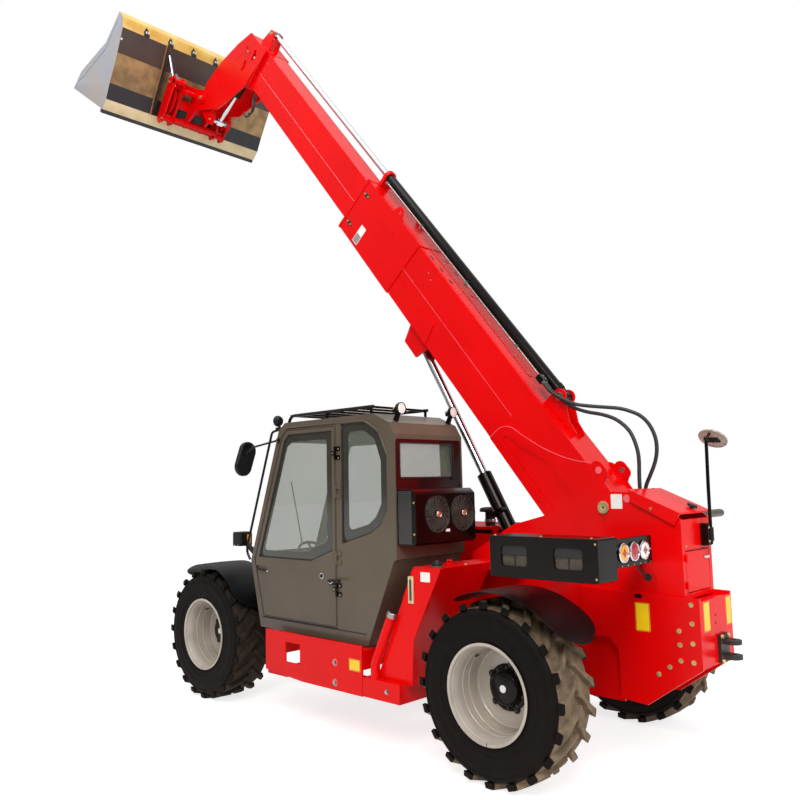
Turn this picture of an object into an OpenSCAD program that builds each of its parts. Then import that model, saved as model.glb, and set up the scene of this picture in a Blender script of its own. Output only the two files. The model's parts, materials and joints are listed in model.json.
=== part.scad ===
// Telehandler with raised telescopic boom and bucket.
// X forward, Y left, Z up, ground at z = 0. Everything is drawn from the rear
// axle (x = 0) and moved by shift_x, so that the box is centred in X.

/* [Node] */
// sub-part to draw, or all

/* [Wheels] */
// rear axle to front axle, mm
wheelbase = 3338; // [3200:1:3500]
// tyre outer diameter over the lugs, mm
tyre_d = 1175; // [1120:1:1190]
// tyre width, mm
tyre_w = 400; // [350:1:410]
// distance between the tyre centre planes, mm
track = 1870; // [1850:1:1960]
// rim flange diameter, mm
rim_d = 653; // [600:1:680]
// fender radius clearance over the tyre, mm
fender_gap = 55; // [40:1:70]

/* [Frame and tower] */
// frame plate thickness, mm
frame_t = 25; // [15:1:25]
// rear end of the tower behind the rear axle, mm
tower_back = 957; // [930:1:970]
// counterweight plate thickness, mm
cw_t = 25; // [15:1:30]
// height of the tower crest, mm
tower_h = 1865; // [1840:1:1890]

/* [Cab] */
// cab rear wall, mm ahead of the rear axle
cab_back = 900; // [880:1:930]
// cab roof height, mm
cab_top = 2500; // [2450:1:2540]
// cab wall thickness, mm
cab_t = 45; // [30:1:55]
// cab width, mm
cab_w = 794; // [760:1:794]
// pane thickness, mm
glass_t = 6; // [4:1:10]

/* [Boom] */
// boom angle as parked, degrees
boom_angle = 51.3; // [48:0.1:54]
// outer boom width, mm
boom_w = 330; // [320:1:336]
// outer boom section height, mm
boom_h = 535; // [525:1:545]
// outer boom wall, mm
boom_wall = 12; // [8:1:14]
// front end of the collar along the boom, mm
collar_end = 3930; // [3850:5:3960]
// inner boom width, mm
inner_w = 260; // [240:1:270]
// head flange along the boom as parked, mm
head_u = 6520; // [6400:5:6600]
// lift barrel outside diameter, mm
lift_d = 125; // [110:1:130]
// extension barrel outside diameter, mm
ext_d = 96; // [90:1:100]

/* [Bucket] */
// bucket width, mm
bucket_w = 2234; // [2100:2:2260]
// bucket floor length, mm
bucket_l = 1023; // [950:1:1060]
// bucket height, mm
bucket_h = 1127; // [1080:1:1180]
// bucket plate thickness, mm
bucket_t = 14; // [8:1:18]
// bucket floor angle above level as parked, degrees
bucket_angle = 35.1; // [30:0.1:40]

/* [Hidden] */

$fn = 40;
gap = 0.3;            // seat clearance between neighbours
move = 6;             // clearance between moving pieces
R = tyre_d / 2;
half_track = track / 2;

// frame and tower, all as |y|
tower_in = 205;
tower_out = tower_in + frame_t;
cw_out = tower_out + cw_t;
king_y = half_track - 175;

// boom pivot and its frame: u along the boom, v square to it
pivot_x = -402;
pivot_z = 1753;
boom_top = 75;
boom_bot = boom_top - boom_h;
boom_y = boom_w / 2;
inner_top = 40;
inner_bot = -395;
inner_y = inner_w / 2;
collar_u = 2900;
main_u = -150;

// lift cylinder
lift_lp = [180, 830];
lift_eye_uv = [2307, -571];
// extension cylinder
ext_v = 190;
ext_u0 = 925;
ext_u1 = 3920;
ext_rod_u = head_u + 218;
// head, lower pin, tilt cylinder
head_pin = [head_u + 775, -1031];
tilt_base = [head_u + 300, -130];
tilt_eye_b = [-751, 407];

// bucket, drawn level with its heel at the origin
pin_b = [-470, 588];

function rot(p, a) = [p[0] * cos(a) - p[1] * sin(a), p[0] * sin(a) + p[1] * cos(a)];
function from_boom(p) = [pivot_x, pivot_z] + rot(p, boom_angle);
pin_w = from_boom(head_pin);
function from_bucket(p) = pin_w + rot(p - pin_b, bucket_angle);
function to_boom(p) = rot(p - [pivot_x, pivot_z], -boom_angle);

// pieces between the axles keep behind the front tyre, pieces over the tyres keep above them
back_x = 900;
front_x = wheelbase - R - 5.5;
rise = tyre_d - 1175;
function cx(x) = x < back_x ? x : back_x + (x - back_x) * (front_x - back_x) / 1845;
function mid(pts) = [for (p = pts) [cx(p[0]), p[1]]];

hitch_x = -1190;
lip_x = from_bucket([bucket_l, 0])[0];
shift_x = (lip_x + hitch_x) / 2;

lift_eye = from_boom(lift_eye_uv);
lift_v = lift_eye - lift_lp;
lift_len = norm(lift_v);
lift_ang = atan2(lift_v[1], lift_v[0]);
lift_barrel_len = 1351;
lift_rod_len = 1545;
tilt_eye = to_boom(from_bucket(tilt_eye_b));
tilt_v = tilt_eye - tilt_base;
tilt_len = norm(tilt_v);
tilt_ang = atan2(tilt_v[1], tilt_v[0]);
tilt_barrel_len = 585;
tilt_rod_len = 612;

red = "#d0120e";
dark = "#1b1b1d";
grey = "#6e675c";
steel = "#b9bcc0";

// ---------- helpers ----------
// plate in the XZ plane between two y values
module plate(pts, y0, y1) translate([0, y1, 0]) rotate([90, 0, 0]) linear_extrude(y1 - y0) polygon(pts);
// plate with a hand-made 2-D child
module plate2(y0, y1) translate([0, y1, 0]) rotate([90, 0, 0]) linear_extrude(y1 - y0) children();
module block(a, b) translate(a) cube(b - a);
module ycyl(x, z, r, y0, y1) translate([x, y1, z]) rotate([90, 0, 0]) cylinder(r = r, h = y1 - y0);
module both() { children(); mirror([0, 1, 0]) children(); }
module boom_frame() translate([pivot_x, 0, pivot_z]) rotate([0, -boom_angle, 0]) children();
module bucket_frame() translate([pin_w[0], 0, pin_w[1]]) rotate([0, -bucket_angle, 0])
  translate([-pin_b[0], 0, -pin_b[1]]) children();
// axis along +X from a point in an XZ frame
module along(p, a) translate([p[0], 0, p[1]]) rotate([0, -a, 0]) children();
module xcyl(r, x0, x1) translate([x0, 0, 0]) rotate([0, 90, 0]) cylinder(r = r, h = x1 - x0);
module bar(p, q, r) {
  d = q - p;
  translate(p) rotate([0, acos(d[2] / norm(d)), atan2(d[1], d[0])]) cylinder(r = r, h = norm(d), $fn = 20);
}
module all_x() translate([-shift_x, 0, 0]) children();

// ---------- chassis ----------
module main_frame() color(red) all_x() {
  y0 = tower_in - frame_t;
  difference() {
    both() plate([[-480, 440], [wheelbase - 750, 440], [wheelbase + 380, 470], [wheelbase + 380, 760],
      [wheelbase - 700, 900], [700, 950], [0, 1190], [-480, 1190]], y0, tower_in);
    for (x = [0, wheelbase]) ycyl(x, R, 90 + gap, -tower_out, tower_out);
    ycyl(lift_lp[0], lift_lp[1], 40 + gap, -tower_out, tower_out);
  }
  // cross members, clear of the lift barrel
  for (x = [-400, wheelbase - 520]) block([x, -y0, 440], [x + 30, y0, 720]);
  block([wheelbase + 340, -y0, 470], [wheelbase + 380, y0, 760]);
  block([300, -y0, 440], [wheelbase - 490, y0, 465]);
  // lift cylinder lower pin
  ycyl(lift_lp[0], lift_lp[1], 40, -tower_in, tower_in);
  // cab outriggers, left, and engine cradle, right
  for (x = [1230, 2150]) block([cx(x), tower_in, 560], [cx(x) + 80, 960, 700]);
  for (x = [900, 1500, 2150]) block([cx(x), -985, 560], [cx(x) + 80, -tower_in, 660]);
  block([820, -1100, 440], [cx(2400), -1080, 700]);
  for (x = [900, 1500, 2150]) block([cx(x), -1090, 580], [cx(x) + 80, -980, 640]);
  block([cx(2200), -1000, 600], [cx(2560), -800, 640]);
  block([cx(2490), -1000, 600], [cx(2560), -800, 700]);
  // engine bay wall
  block([800, -262, 600], [cx(2340), -252, 1300]);
  block([800, -262, 1200], [cx(1900), -252, 1500]);
  for (x = [900, 1700]) block([cx(x), -261 + gap, 1490], [cx(x) + 60, -252, 1572]);
}

lid_x = -600;
lid_z = tower_h + 9;
module boom_tower() color(red) all_x() {
  edge = [[-tower_back, 900], [-tower_back, 1675], [-919, 1706], [-608, tower_h - 5], [-328, tower_h],
    [-267, 1792], [112, 1687], [387, 1618], [800, 1390], [800, 1100], [560, 900]];
  difference() {
    both() plate(edge, tower_in, tower_out);
    ycyl(pivot_x, pivot_z, 45 + gap, -300, 300);
  }
  // rear cover with the opening of the rear door
  difference() {
    block([-tower_back, -tower_in, 1160], [-tower_back + 12, tower_in, 1675]);
    block([-tower_back - 5, -tower_in + 20, 1195], [-tower_back + 20, tower_in - 20, 1470]);
  }
  // boom pivot pin
  ycyl(pivot_x, pivot_z, 45, -tower_out - 12, tower_out + 12);
  // cross plates and the strip in front of the lid, where the hoses go in
  block([-597, -tower_in, 1845], [-560, tower_in, 1857]);
  for (y = [-150, 110]) block([lid_x + 7 + gap, y, 1850], [lid_x + 17, y + 40, lid_z + 4]);
  block([-620, -tower_in, 900], [-600, tower_in, 1300]);
}

module counterweight() color(red) all_x() {
  rear_x = -tower_back - 104;
  both() plate([[rear_x, 1177], [rear_x, 732], [-671, 457], [-484, 473], [-475, 792], [-405, 867],
    [-208, 863], [-194, 1199]], tower_out, cw_out);
  block([rear_x, -tower_out, 735], [rear_x + 25, tower_out, 1159]);
  block([rear_x + 25, -tower_in + 10, 760], [-640, tower_in - 10, 1150]);
  block([rear_x + 25, -tower_out, 760], [-tower_back - gap, tower_out, 1150]);
}

module hitch() color(dark) all_x() {
  rear_x = -tower_back - 104;
  y0 = -60;
  block([rear_x - 22, y0 - 70, 740], [rear_x - gap, y0 + 70, 920]);
  difference() {
    for (z = [765, 860]) translate([0, 0, z]) linear_extrude(28) difference() {
      union() {
        translate([rear_x - 60, y0 - 55]) square([45, 110]);
        translate([hitch_x + 55, y0]) circle(55);
        translate([hitch_x + 55, y0 - 55]) square([rear_x - hitch_x - 75, 110]);
      }
    }
    translate([hitch_x + 55, y0, 700]) cylinder(r = 17, h = 300);
  }
}

module side_sill() color(red) all_x() {
  difference() {
    plate(mid([[1190, 370], [1190, 738], [2392, 738], [2392, 405], [1900, 370]]), 1085, 1100);
    block([cx(1930), 1050, 500], [cx(2120), 1120, 660]);
  }
  difference() {
    block([cx(1190), 700, 370], [cx(2380), 1085, 395]);
    block([cx(1930), 900, 360], [cx(2120), 1090, 400]);
  }
  block([cx(1190), 960 + gap, 560], [cx(1230) - gap, 1085, 700]);
  block([cx(1230), 960 + gap, 560], [cx(1230) + 80, 1085, 700]);
  block([cx(2150), 960 + gap, 560], [cx(2150) + 80, 1085, 700]);
}

module hydraulic_tank() color(red) all_x() {
  plate([[1090, 505], [714, 1325 + rise], [690, 1350 + rise], [440, 1350 + rise], [718, 827], [738, 505]], 450, 1030);
  // inboard part behind the front slab, over the wheel arch
  block([250, tower_out + gap, 1290 + rise], [700, 460, 1345 + rise]);
  block([745, tower_out + gap, 560], [860, 460, 1130]);
  // step box at the foot
  block([800, 700, 375], [1185, 1100, 515]);
  // filler pipe
  bar([905, 1060, 985], [1085, 1060, 620], 36);
  translate([1085, 1060, 620]) sphere(36.5);
  bar([1085, 1060, 620], [1085, 1060, 500], 36);
}

module engine_block() color(dark) all_x() block([cx(1000), -900, 660 + gap], [cx(1950), -380, 1330]);

module engine_hood() color(red) all_x() difference() {
  union() {
    plate(mid([[760, 660 + gap], [760, 1560], [1900, 1560], [2350, 1330], [2380, 660 + gap]]), -1000, -270);
    for (x = [900, 1700]) translate([cx(x), -270, 1560]) xcyl(9, 0, 60);
  }
  plate(mid([[785, 640], [785, 1535], [1892, 1535], [2325, 1312], [2355, 640]]), -975, -200);
}

module air_cleaner() color(dark) all_x() translate([cx(1130), -450, 0]) {
  translate([0, 0, 1560]) cylinder(r = 45, h = 120);
  translate([0, 0, 1680]) cylinder(r = 95, h = 45);
}

module exhaust_stub() color(grey) all_x() {
  ycyl(-890, 1690, 28, -600, -tower_out - gap);
  translate([-890, -600, 1690]) sphere(28);
}

module axles() color(dark) all_x() for (x = [0, wheelbase]) translate([x, 0, R]) {
  difference() {
    union() {
      ycyl(0, 0, 90, -king_y + 100, king_y - 100);
      ycyl(0, 0, 150, -tower_in + frame_t + 20, tower_in - frame_t - 20);
      both() for (s = [-1, 1]) translate([0, king_y, s * 145 - 10]) {
        cylinder(r = 55, h = 20);
        translate([-55, -160, 0]) cube([110, 160, 20]);
      }
      both() translate([-60, king_y - 165, -155]) cube([120, 60, 310]);
    }
    both() translate([0, king_y, -200]) cylinder(r = 25 + gap, h = 400);
  }
}

// ---------- cab ----------
function roof_z(x) = cab_top - 80 + (x - 960) * 80 / 170;
cab_y1 = 1000;
cab_y0 = cab_y1 - cab_w;
cab_out = mid([[1225, 719], [2600, 719], [2745, 1290], [2330, 2440], [2240, cab_top], [1130, cab_top],
  [960, cab_top - 80], [cab_back, cab_top - 180], [cab_back, 1385], [930, 1370]]);
cab_in = mid([[1255, 719 + cab_t], [2550, 719 + cab_t], [2695, 1285], [2290, 2405], [2220, cab_top - cab_t],
  [1150, cab_top - cab_t], [985, cab_top - 120], [cab_back + cab_t, cab_top - 200],
  [cab_back + cab_t, 1400], [965, 1385]]);
door_out = mid([[1577, 815], [2555, 815], [2690, 1300], [2290, 2380], [2215, 2440], [1577, 2440]]);
door_win = mid([[1625, 1420], [1900, 1325], [2630, 1325], [2255, 2345], [2195, 2395], [1625, 2395]]);
quarter = mid([[1510, 2440], [1230, 2440], [1080, 2350], [990, 2160], [990, 1760], [1060, 1640], [1180, 1570], [1510, 1480]]);
hinge_x = cx(1577) - 6;
hinge_y = cab_y1 + 11;
module cab_shell() color(grey) all_x() difference() {
  union() {
    plate(cab_out, cab_y0, cab_y1);
    for (z = hinge_zs) for (h = [-35, 35 + gap]) {
      translate([hinge_x, hinge_y, z + h]) cylinder(r = 10, h = 35 - gap);
      block([hinge_x - 55, cab_y1 - 5, z + h], [hinge_x, cab_y1 + 8, z + h + 35 - gap]);
    }
  }
  plate(cab_in, cab_y0 + cab_t, cab_y1 - cab_t);
  // door, quarter, right and rear windows, windscreen
  plate2(cab_y1 - cab_t - 1, cab_y1 + 1) offset(delta = move) polygon(door_out);
  plate(quarter, cab_y1 - cab_t - 1, cab_y1 + 1);
  plate(mid([[1050, 1450], [2620, 1450], [2290, 2370], [1080, 2370]]), cab_y0 - 1, cab_y0 + cab_t + 1);
  block([cab_back - 1, cab_y0 + 90, 1903], [cab_back + cab_t + 1, cab_y1 - 60, 2270]);
  plate(mid([[2500, 1330], [2900, 1330], [2900, 2360], [2200, 2360]]), cab_y0 + 50, cab_y1 - 50);
}

module cab_glass() color([0.6, 0.7, 0.72, 0.5]) all_x() {
  plate2(cab_y1 - 20 - glass_t, cab_y1 - 20) offset(delta = -gap) polygon(quarter);
  plate2(cab_y0 + 15, cab_y0 + 15 + glass_t) offset(delta = -gap) polygon(mid([[1050, 1450], [2620, 1450], [2290, 2370], [1080, 2370]]));
  block([cab_back + 15, cab_y0 + 90 + gap, 1903 + gap], [cab_back + 15 + glass_t, cab_y1 - 60 - gap, 2270 - gap]);
  plate([[cx(2705), 1330 + gap], [cx(2705) + glass_t, 1330 + gap], [cx(2338) + glass_t, 2359], [cx(2338), 2359]],
    cab_y0 + 50 + gap, cab_y1 - 50 - gap);
}

hinge_zs = [1350, 1880];
module cab_door() color(grey) all_x() {
  difference() {
    plate(door_out, cab_y1 - cab_t, cab_y1);
    plate(door_win, cab_y1 - cab_t - 1, cab_y1 + 1);
  }
  for (z = hinge_zs) {
    translate([hinge_x, hinge_y, z]) cylinder(r = 10, h = 35);
    block([hinge_x, cab_y1 - 5, z], [hinge_x + 45, cab_y1 + 8, z + 35]);
  }
}
module door_glass() color([0.6, 0.7, 0.72, 0.5]) all_x()
  plate2(cab_y1 - 20 - glass_t, cab_y1 - 20) offset(delta = -gap) polygon(door_win);

module seat() color(dark) all_x() {
  block([cx(1300), 380, 764 + gap], [cx(1700), 800, 1000]);
  block([cx(1280), 350, 1000], [cx(1780), 830, 1120]);
  plate(mid([[1240, 1120], [1380, 1120], [1300, 1750], [1190, 1750]]), 370, 810);
}
module steering_console() color(dark) all_x() {
  plate(mid([[2300, 764 + gap], [2480, 764 + gap], [2400, 1280], [2320, 1280]]), 480, 720);
  translate([cx(2290), 600, 1330]) rotate([0, -35, 0]) {
    rotate_extrude() translate([180, 0]) circle(14, $fn = 16);
    translate([0, 0, -90]) cylinder(r = 25, h = 95);
    for (a = [0, 120, 240]) rotate([0, 0, a]) translate([0, -12, -6]) cube([182, 24, 10]);
  }
}

module roof_guard() color(dark) all_x() {
  z = cab_top + 70;
  for (y = [cab_y0 + 40, cab_y1 - 110]) {
    bar([cx(1250), y, z], [cx(2300), y, z], 14);
    translate([cx(2300), y, z]) sphere(14.3);
    bar([cx(2300), y, z], [cx(2357), y, 2405], 13);
    for (x = [1260, 1800]) bar([cx(x), y, cab_top + gap], [cx(x), y, z], 12);
  }
  for (x = [1275 : 170 : 2300]) bar([cx(x), cab_y0 + 40, z + 1], [cx(x), cab_y1 - 110, z + 1], 10);
}

fan_ys = [440, 740];
fan_z = 1715;
module condenser_box() color(dark) all_x() {
  difference() {
    block([cab_back - 190, 290, 1490], [cab_back - gap, 985, 1905]);
    for (y = fan_ys) translate([cab_back - 200, y, fan_z]) rotate([0, 90, 0]) cylinder(r = 142, h = 120);
  }
  // fan spindles
  for (y = fan_ys) translate([cab_back - 115 + gap, y, fan_z]) rotate([0, 90, 0]) cylinder(r = 18, h = 40);
}
module fan(y) all_x() translate([cab_back - 165, y, fan_z]) rotate([0, 90, 0]) {
  cylinder(r = 40, h = 50);
  for (a = [0 : 72 : 359]) rotate([0, 0, a]) translate([30, -22, 12]) cube([100, 44, 8]);
}
module fan_left() color(dark) fan(fan_ys[1]);
module fan_right() color(dark) fan(fan_ys[0]);

module lamps() color(dark) all_x() {
  // work lamps on wedge feet that follow the sloping roof edge
  for (y = [884, 262]) {
    translate([975, y, 2530]) rotate([0, -90, 0]) cylinder(r = 48, h = 50, $fn = 32);
    plate([[975, roof_z(975) + gap], [1015, roof_z(1015) + gap], [985, 2500], [945, 2500]], y - 10, y + 10);
  }
  // indicator boxes, seated on the cab front and on the engine hood's front rail
  ix = wheelbase - 378;
  for (y = [830, -970]) block([ix, y, 1400 + rise], [ix + 130, y + 140, 1530 + rise]);
  plate([[front_x - 9, 1250], [front_x + gap, 1290], [front_x - 13, 1330], [ix + 15, 1450 + rise], [ix + 15, 1405 + rise],
    [front_x + 45, 1290]], 890, 910);
  plate([[cx(2500), 700 + gap], [cx(2550), 700 + gap], [cx(2630), 1270], [ix + 20, 1402 + rise], [ix + 5, 1430 + rise],
    [cx(2580), 1310]], -910, -890);
}

module mirrors() color(dark) all_x() {
  // cab mirror on its arm, seated at the top of the door pillar
  translate([cx(2780), 1030, 2205]) rotate([0, 90, 0]) linear_extrude(45)
    hull() for (u = [-75, 75]) translate([u, 0]) circle(88, $fn = 28);
  bar([cx(2795), 1040, 2233], [cx(2660), 1040, 2305], 12);
  translate([cx(2660), 1040, 2305]) sphere(17);
  bar([cx(2660), 1040, 2305], [cx(2335), 1013, 2350], 9);
  block([cx(2315), cab_y1 + gap, 2330], [cx(2352), cab_y1 + 20, 2370]);
  // rear mirror on its pole
  bar([-1012, -108, 1500], [-1012, -122, 2215], 12);
  translate([-1012, -122, 2215]) sphere(17);
  bar([-1012, -122, 2215], [-1005, -200, 2252], 9);
  block([-1015, -125, 1490], [-tower_back - gap, -60, 1640]);
  translate([-1005, -250, 2235]) cylinder(r = 120, h = 35);
}

module side_box() color(dark) all_x() {
  translate([0, 0, rise]) {
    difference() {
      block([-833, 854, 1337], [-37, 1087, 1601]);
      block([-813, 874, 1357], [-57, 1067, 1581]);
      for (x = [-728, -330]) block([x, 1060, 1410], [x + 200, 1100, 1540]);
    }
    block([-833, 406, 1411], [-821, 854, 1585]);
    for (x = [-700, -160]) block([x, tower_out + gap, 1380], [x + 60, 854, 1430]);
  }
}
module tail_lights() color(steel) all_x() for (y = [500, 620, 740])
  translate([-833 - gap, y, 1498 + rise]) rotate([0, -90, 0]) cylinder(r = 52, h = 28, $fn = 32);

module rear_lid() color(red) all_x() {
  y = tower_out + 8;
  plate([[-600, tower_h + 3], [-600, tower_h + 15], [-960, 1722], [-960, 1710]], -y - 12, y + 12);
  plate([[-610, tower_h + 3], [-610, tower_h - 70], [-920, 1640], [-960, 1712]], y, y + 12);
  plate([[-610, tower_h + 3], [-610, tower_h - 70], [-830, 1690], [-830, 1775]], -y - 12, -y);
  for (y = [-150, 110]) ycyl(lid_x, lid_z, 7, y, y + 40);
}
module rear_door() color(red) all_x() {
  y1 = tower_in - 20 - move;
  block([-tower_back, -y1, 1195 + move], [-tower_back + 12, y1, 1470 - move]);
  for (z = [1225, 1400]) {
    translate([-tower_back - 8 - gap, y1 + 10, z]) cylinder(r = 8, h = 45);
    block([-tower_back - 12, y1 - 20, z], [-tower_back + 6, y1, z + 45]);
    block([-tower_back - 12, y1 - 20, z], [-tower_back - 5, y1 + 8, z + 45]);
  }
}

// ---------- boom ----------
module boom_outer() color(red) all_x() boom_frame() {
  w = boom_wall;
  difference() {
    union() {
      block([main_u, -boom_y, boom_bot], [collar_u, boom_y, boom_top]);
      block([collar_u, -boom_y - 8, boom_bot - 15], [collar_end, boom_y + 8, boom_top + 8]);
      // doublers
      both() plate([[1064, boom_bot], [1037, -277], [794, -187], [356, boom_top], [343, 91], [185, 154], [149, 95],
        [main_u + 30, boom_top], [main_u + 30, boom_bot]], boom_y, boom_y + 12);
      both() plate([[2170, boom_bot], [2230, -270], [2810, -270], [2870, boom_bot]], boom_y, boom_y + 8);
      // front lip, ears of the extension barrel
      block([collar_end - 25, -boom_y - 14, boom_bot - 21], [collar_end, boom_y + 14, boom_top + 14]);
      both() plate([[660, boom_top], [970, boom_top], [970, ext_v + 60], [880, ext_v + 60]], ext_d / 2 + 4, ext_d / 2 + 22);
      // ears of the lift rod
      both() plate([[2150, boom_bot], [2200, lift_eye_uv[1] - 60], [2410, lift_eye_uv[1] - 60], [2480, boom_bot]], 105, 130);
      // bracket at the barrel front
      translate([0, 0, 0]) block([3860, -62, boom_top], [3900, 62, ext_v]);
    }
    block([main_u - 5, -boom_y + w, boom_bot + w], [collar_u + 5, boom_y - w, boom_top - w]);
    difference() {
      block([collar_u, -boom_y + w, boom_bot + w], [collar_end + 5, boom_y - w, boom_top - w]);
      // wear pads on the four faces of the inner boom
      both() block([3760, inner_y + gap, -320], [collar_end - 25, boom_y, -60]);
      block([3760, -90, inner_top + gap], [collar_end - 25, 90, boom_top]);
      block([3760, -90, boom_bot], [collar_end - 25, 90, inner_bot - gap]);
    }
    ycyl(0, 0, 45 + gap, -300, 300);
    along([0, ext_v], 0) xcyl(ext_d / 2 + gap, 3850, 3910);
    block([2180, -70, boom_bot - 5], [2440, 70, boom_bot + w + 5]);
  }
}
module extend_barrel() color(dark) all_x() boom_frame() along([ext_u0, ext_v], 0) difference() {
  union() {
    ycyl(0, 0, 45, -ext_d / 2, ext_d / 2);
    xcyl(ext_d / 2, 20, ext_u1 - ext_u0);
    block([1080 - ext_u0, 0, -32], [1150 - ext_u0, 142, 14]);
  }
  xcyl(35, 60, ext_u1 - ext_u0 - 30);
  xcyl(28 + gap, 60, ext_u1 - ext_u0 + 5);
}
module lift_barrel() color(dark) all_x() along(lift_lp, lift_ang) difference() {
  union() { ycyl(0, 0, 75, -60, 60); xcyl(lift_d / 2, 20, lift_barrel_len); }
  ycyl(0, 0, 40 + gap, -100, 100);
  xcyl(48, 82, lift_barrel_len - 40);
  xcyl(35 + gap, 82, lift_barrel_len + 5);
}
module lift_rod() color(steel) all_x() along(lift_lp, lift_ang) {
  xcyl(35, lift_len - lift_rod_len, lift_len - 20);
  ycyl(lift_len, 0, 45, -50, 50);
  ycyl(lift_len, 0, 25, -98, 98);
}
module tilt_barrel() color(dark) all_x() boom_frame() along(tilt_base, tilt_ang) difference() {
  union() { ycyl(0, 0, 45, -50, 50); xcyl(50, 20, tilt_barrel_len); }
  ycyl(0, 0, 25 + gap, -100, 100);
  xcyl(37, 55, tilt_barrel_len - 30);
  xcyl(27 + gap, 55, tilt_barrel_len + 5);
}
module tilt_rod() color(steel) all_x() boom_frame() along(tilt_base, tilt_ang) {
  xcyl(27, tilt_len - tilt_rod_len, tilt_len - 20);
  ycyl(tilt_len, 0, 42, -40, 40);
  ycyl(tilt_len, 0, 22, -85, 85);
}
module boom_inner() color(red) all_x() boom_frame() difference() {
  block([2600, -inner_y, inner_bot], [head_u, inner_y, inner_top]);
  block([2590, -inner_y + 10, inner_bot + 10], [head_u - 15, inner_y - 10, inner_top - 10]);
}
head_side = [[0, 43], [444, 41], [597, -193], [753, -525], [837, -849], [793, -1219], [352, -927], [63, -440]];
module boom_head() color(red) all_x() boom_frame() {
  difference() {
    union() {
      both() plate([for (p = head_side) [head_u + p[0], p[1]]], 145, 165);
      block([head_u, -165, -440], [head_u + 20, 165, 43]);
      both() ycyl(head_pin[0], head_pin[1], 70, 143, 180);
      both() plate([[head_u + 120, 41], [head_u + 330, 41], [head_u + 260, 220], [head_u + 180, 220]], 45, 65);
    }
    both() ycyl(head_u + 169, -110, 32, 100, 200);
    ycyl(ext_rod_u, ext_v, 20 + gap, -100, 100);
    ycyl(head_pin[0], head_pin[1], 35 + gap, -200, 200);
  }
  block([head_u + 20, -145, 23], [head_u + 400, 145, 41]);
  ycyl(tilt_base[0], tilt_base[1], 25, -145, 145);
  ycyl(head_pin[0], head_pin[1], 35, -190, 190);
}
module extend_rod() color(steel) all_x() boom_frame() {
  along([0, ext_v], 0) xcyl(28, 3560, ext_rod_u - 20);
  ycyl(ext_rod_u, ext_v, 40, -40, 40);
  ycyl(ext_rod_u, ext_v, 20, -68, 68);
}

// ---------- coupler and bucket, drawn level ----------
module coupler() color(red) all_x() bucket_frame() {
  difference() {
    union() {
      // pin ears with the lever of the tilt rod
      both() plate([[-160, 640], [-400, 680], [-540, 640], [-810, 450], [-800, 350], [-690, 350], [-400, 480],
        [-160, 120]], 100, 135);
      // back frame
      both() plate([[-160, 700], [-240, 660], [-200, 120], [-110, 80], [-60, 120], [-60, 640]], 300, 320);
      both() plate([[-160, 700], [-240, 660], [-200, 120], [-110, 80], [-60, 120], [-60, 640]], 433, 453);
      block([-170, -453, 130], [-80, 453, 220]);
      block([-170, -453, 560], [-80, 453, 640]);
    }
    ycyl(pin_b[0], pin_b[1], 35 + gap, -200, 200);
  }
}
kx = bucket_l / 1023;
kz = bucket_h / 1127;
bucket_edge = [[bucket_l, 0], [0, 0], [-25 * kx, 135 * kz], [0, 327 * kz], [25 * kx, 690 * kz], [75 * kx, 980 * kz],
  [160 * kx, 1090 * kz], [284 * kx, bucket_h]];
bucket_inner = [[bucket_l - 40, bucket_t], [12 * kx, bucket_t], [-25 * kx + bucket_t, 135 * kz], [bucket_t, 327 * kz],
  [25 * kx + bucket_t, 688 * kz], [75 * kx + bucket_t, 972 * kz], [160 * kx + 6, 1074 * kz], [284 * kx + 2, bucket_h - bucket_t]];
bucket_side = concat(bucket_edge, [[428 * kx, 724 * kz], [927 * kx, 245 * kz]]);
module bucket() color("#8b93a6") all_x() bucket_frame() {
  difference() {
    plate(bucket_edge_closed(), -bucket_w / 2 + 1, bucket_w / 2 - 1);
    plate(concat(bucket_inner, [[bucket_l + 400, bucket_h + 300], [bucket_l + 400, bucket_t + 0.5]]), -bucket_w / 2 - 5, bucket_w / 2 + 5);
  }
  both() plate(bucket_side, bucket_w / 2 - bucket_t, bucket_w / 2);
  // hooks for the coupler
  both() for (y = [340, 413]) {
    plate([[-80 + gap, 540], [30, 500], [50, 720], [-80 + gap, 680]], y - 8, y + 8);
    plate([[-80 + gap, 120], [2, 110], [2, 250], [-80 + gap, 230]], y - 8, y + 8);
  }
}
function bucket_edge_closed() = bucket_edge;

// ---------- wheels ----------
module wheel_at(x, s) all_x() translate([x, 0, R]) mirror([0, s < 0 ? 1 : 0, 0]) translate([0, half_track, 0]) rotate([-90, 0, 0]) children();
module tyre() color(dark) rotate_extrude($fn = 64) {
  w = tyre_w / 2;
  r0 = rim_d / 2 - 15;
  polygon([[r0, -w + 25], [r0 + 40, -w + 8], [r0 + 120, -w], [R - 45, -w + 8], [R, -w + 45], [R, w - 45], [R - 45, w - 8],
    [r0 + 120, w], [r0 + 40, w - 8], [r0, w - 25], [r0 - 10, w - 60], [r0 - 10, -w + 60]]);
}
module rim() color("#c8c0b0") {
  w = tyre_w / 2;
  r0 = rim_d / 2 - 15;
  rotate_extrude($fn = 64) polygon([[r0 - gap, -w + 24], [r0 + 12, -w + 8], [r0 + 12, -w + 2], [r0 - 14, -w + 2], [r0 - 30, -w + 45],
    [r0 - 30, w - 45], [r0 - 14, w - 2], [r0 + 12, w - 2], [r0 + 12, w - 8], [r0 - gap, w - 24], [r0 - 11, w - 58], [r0 - 11, -w + 58]]);
  translate([0, 0, -75]) difference() {
    cylinder(r = r0 - 28, h = 14, $fn = 64);
    translate([0, 0, -5]) cylinder(r = 50 + gap, h = 30);
  }
  translate([0, 0, -61]) difference() {
    cylinder(r = 130, h = 70);
    translate([0, 0, -5]) cylinder(r = 50 + gap, h = 60);
  }
}
module tyre_fl() wheel_at(wheelbase, 1) tyre();
module tyre_fr() wheel_at(wheelbase, -1) tyre();
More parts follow.
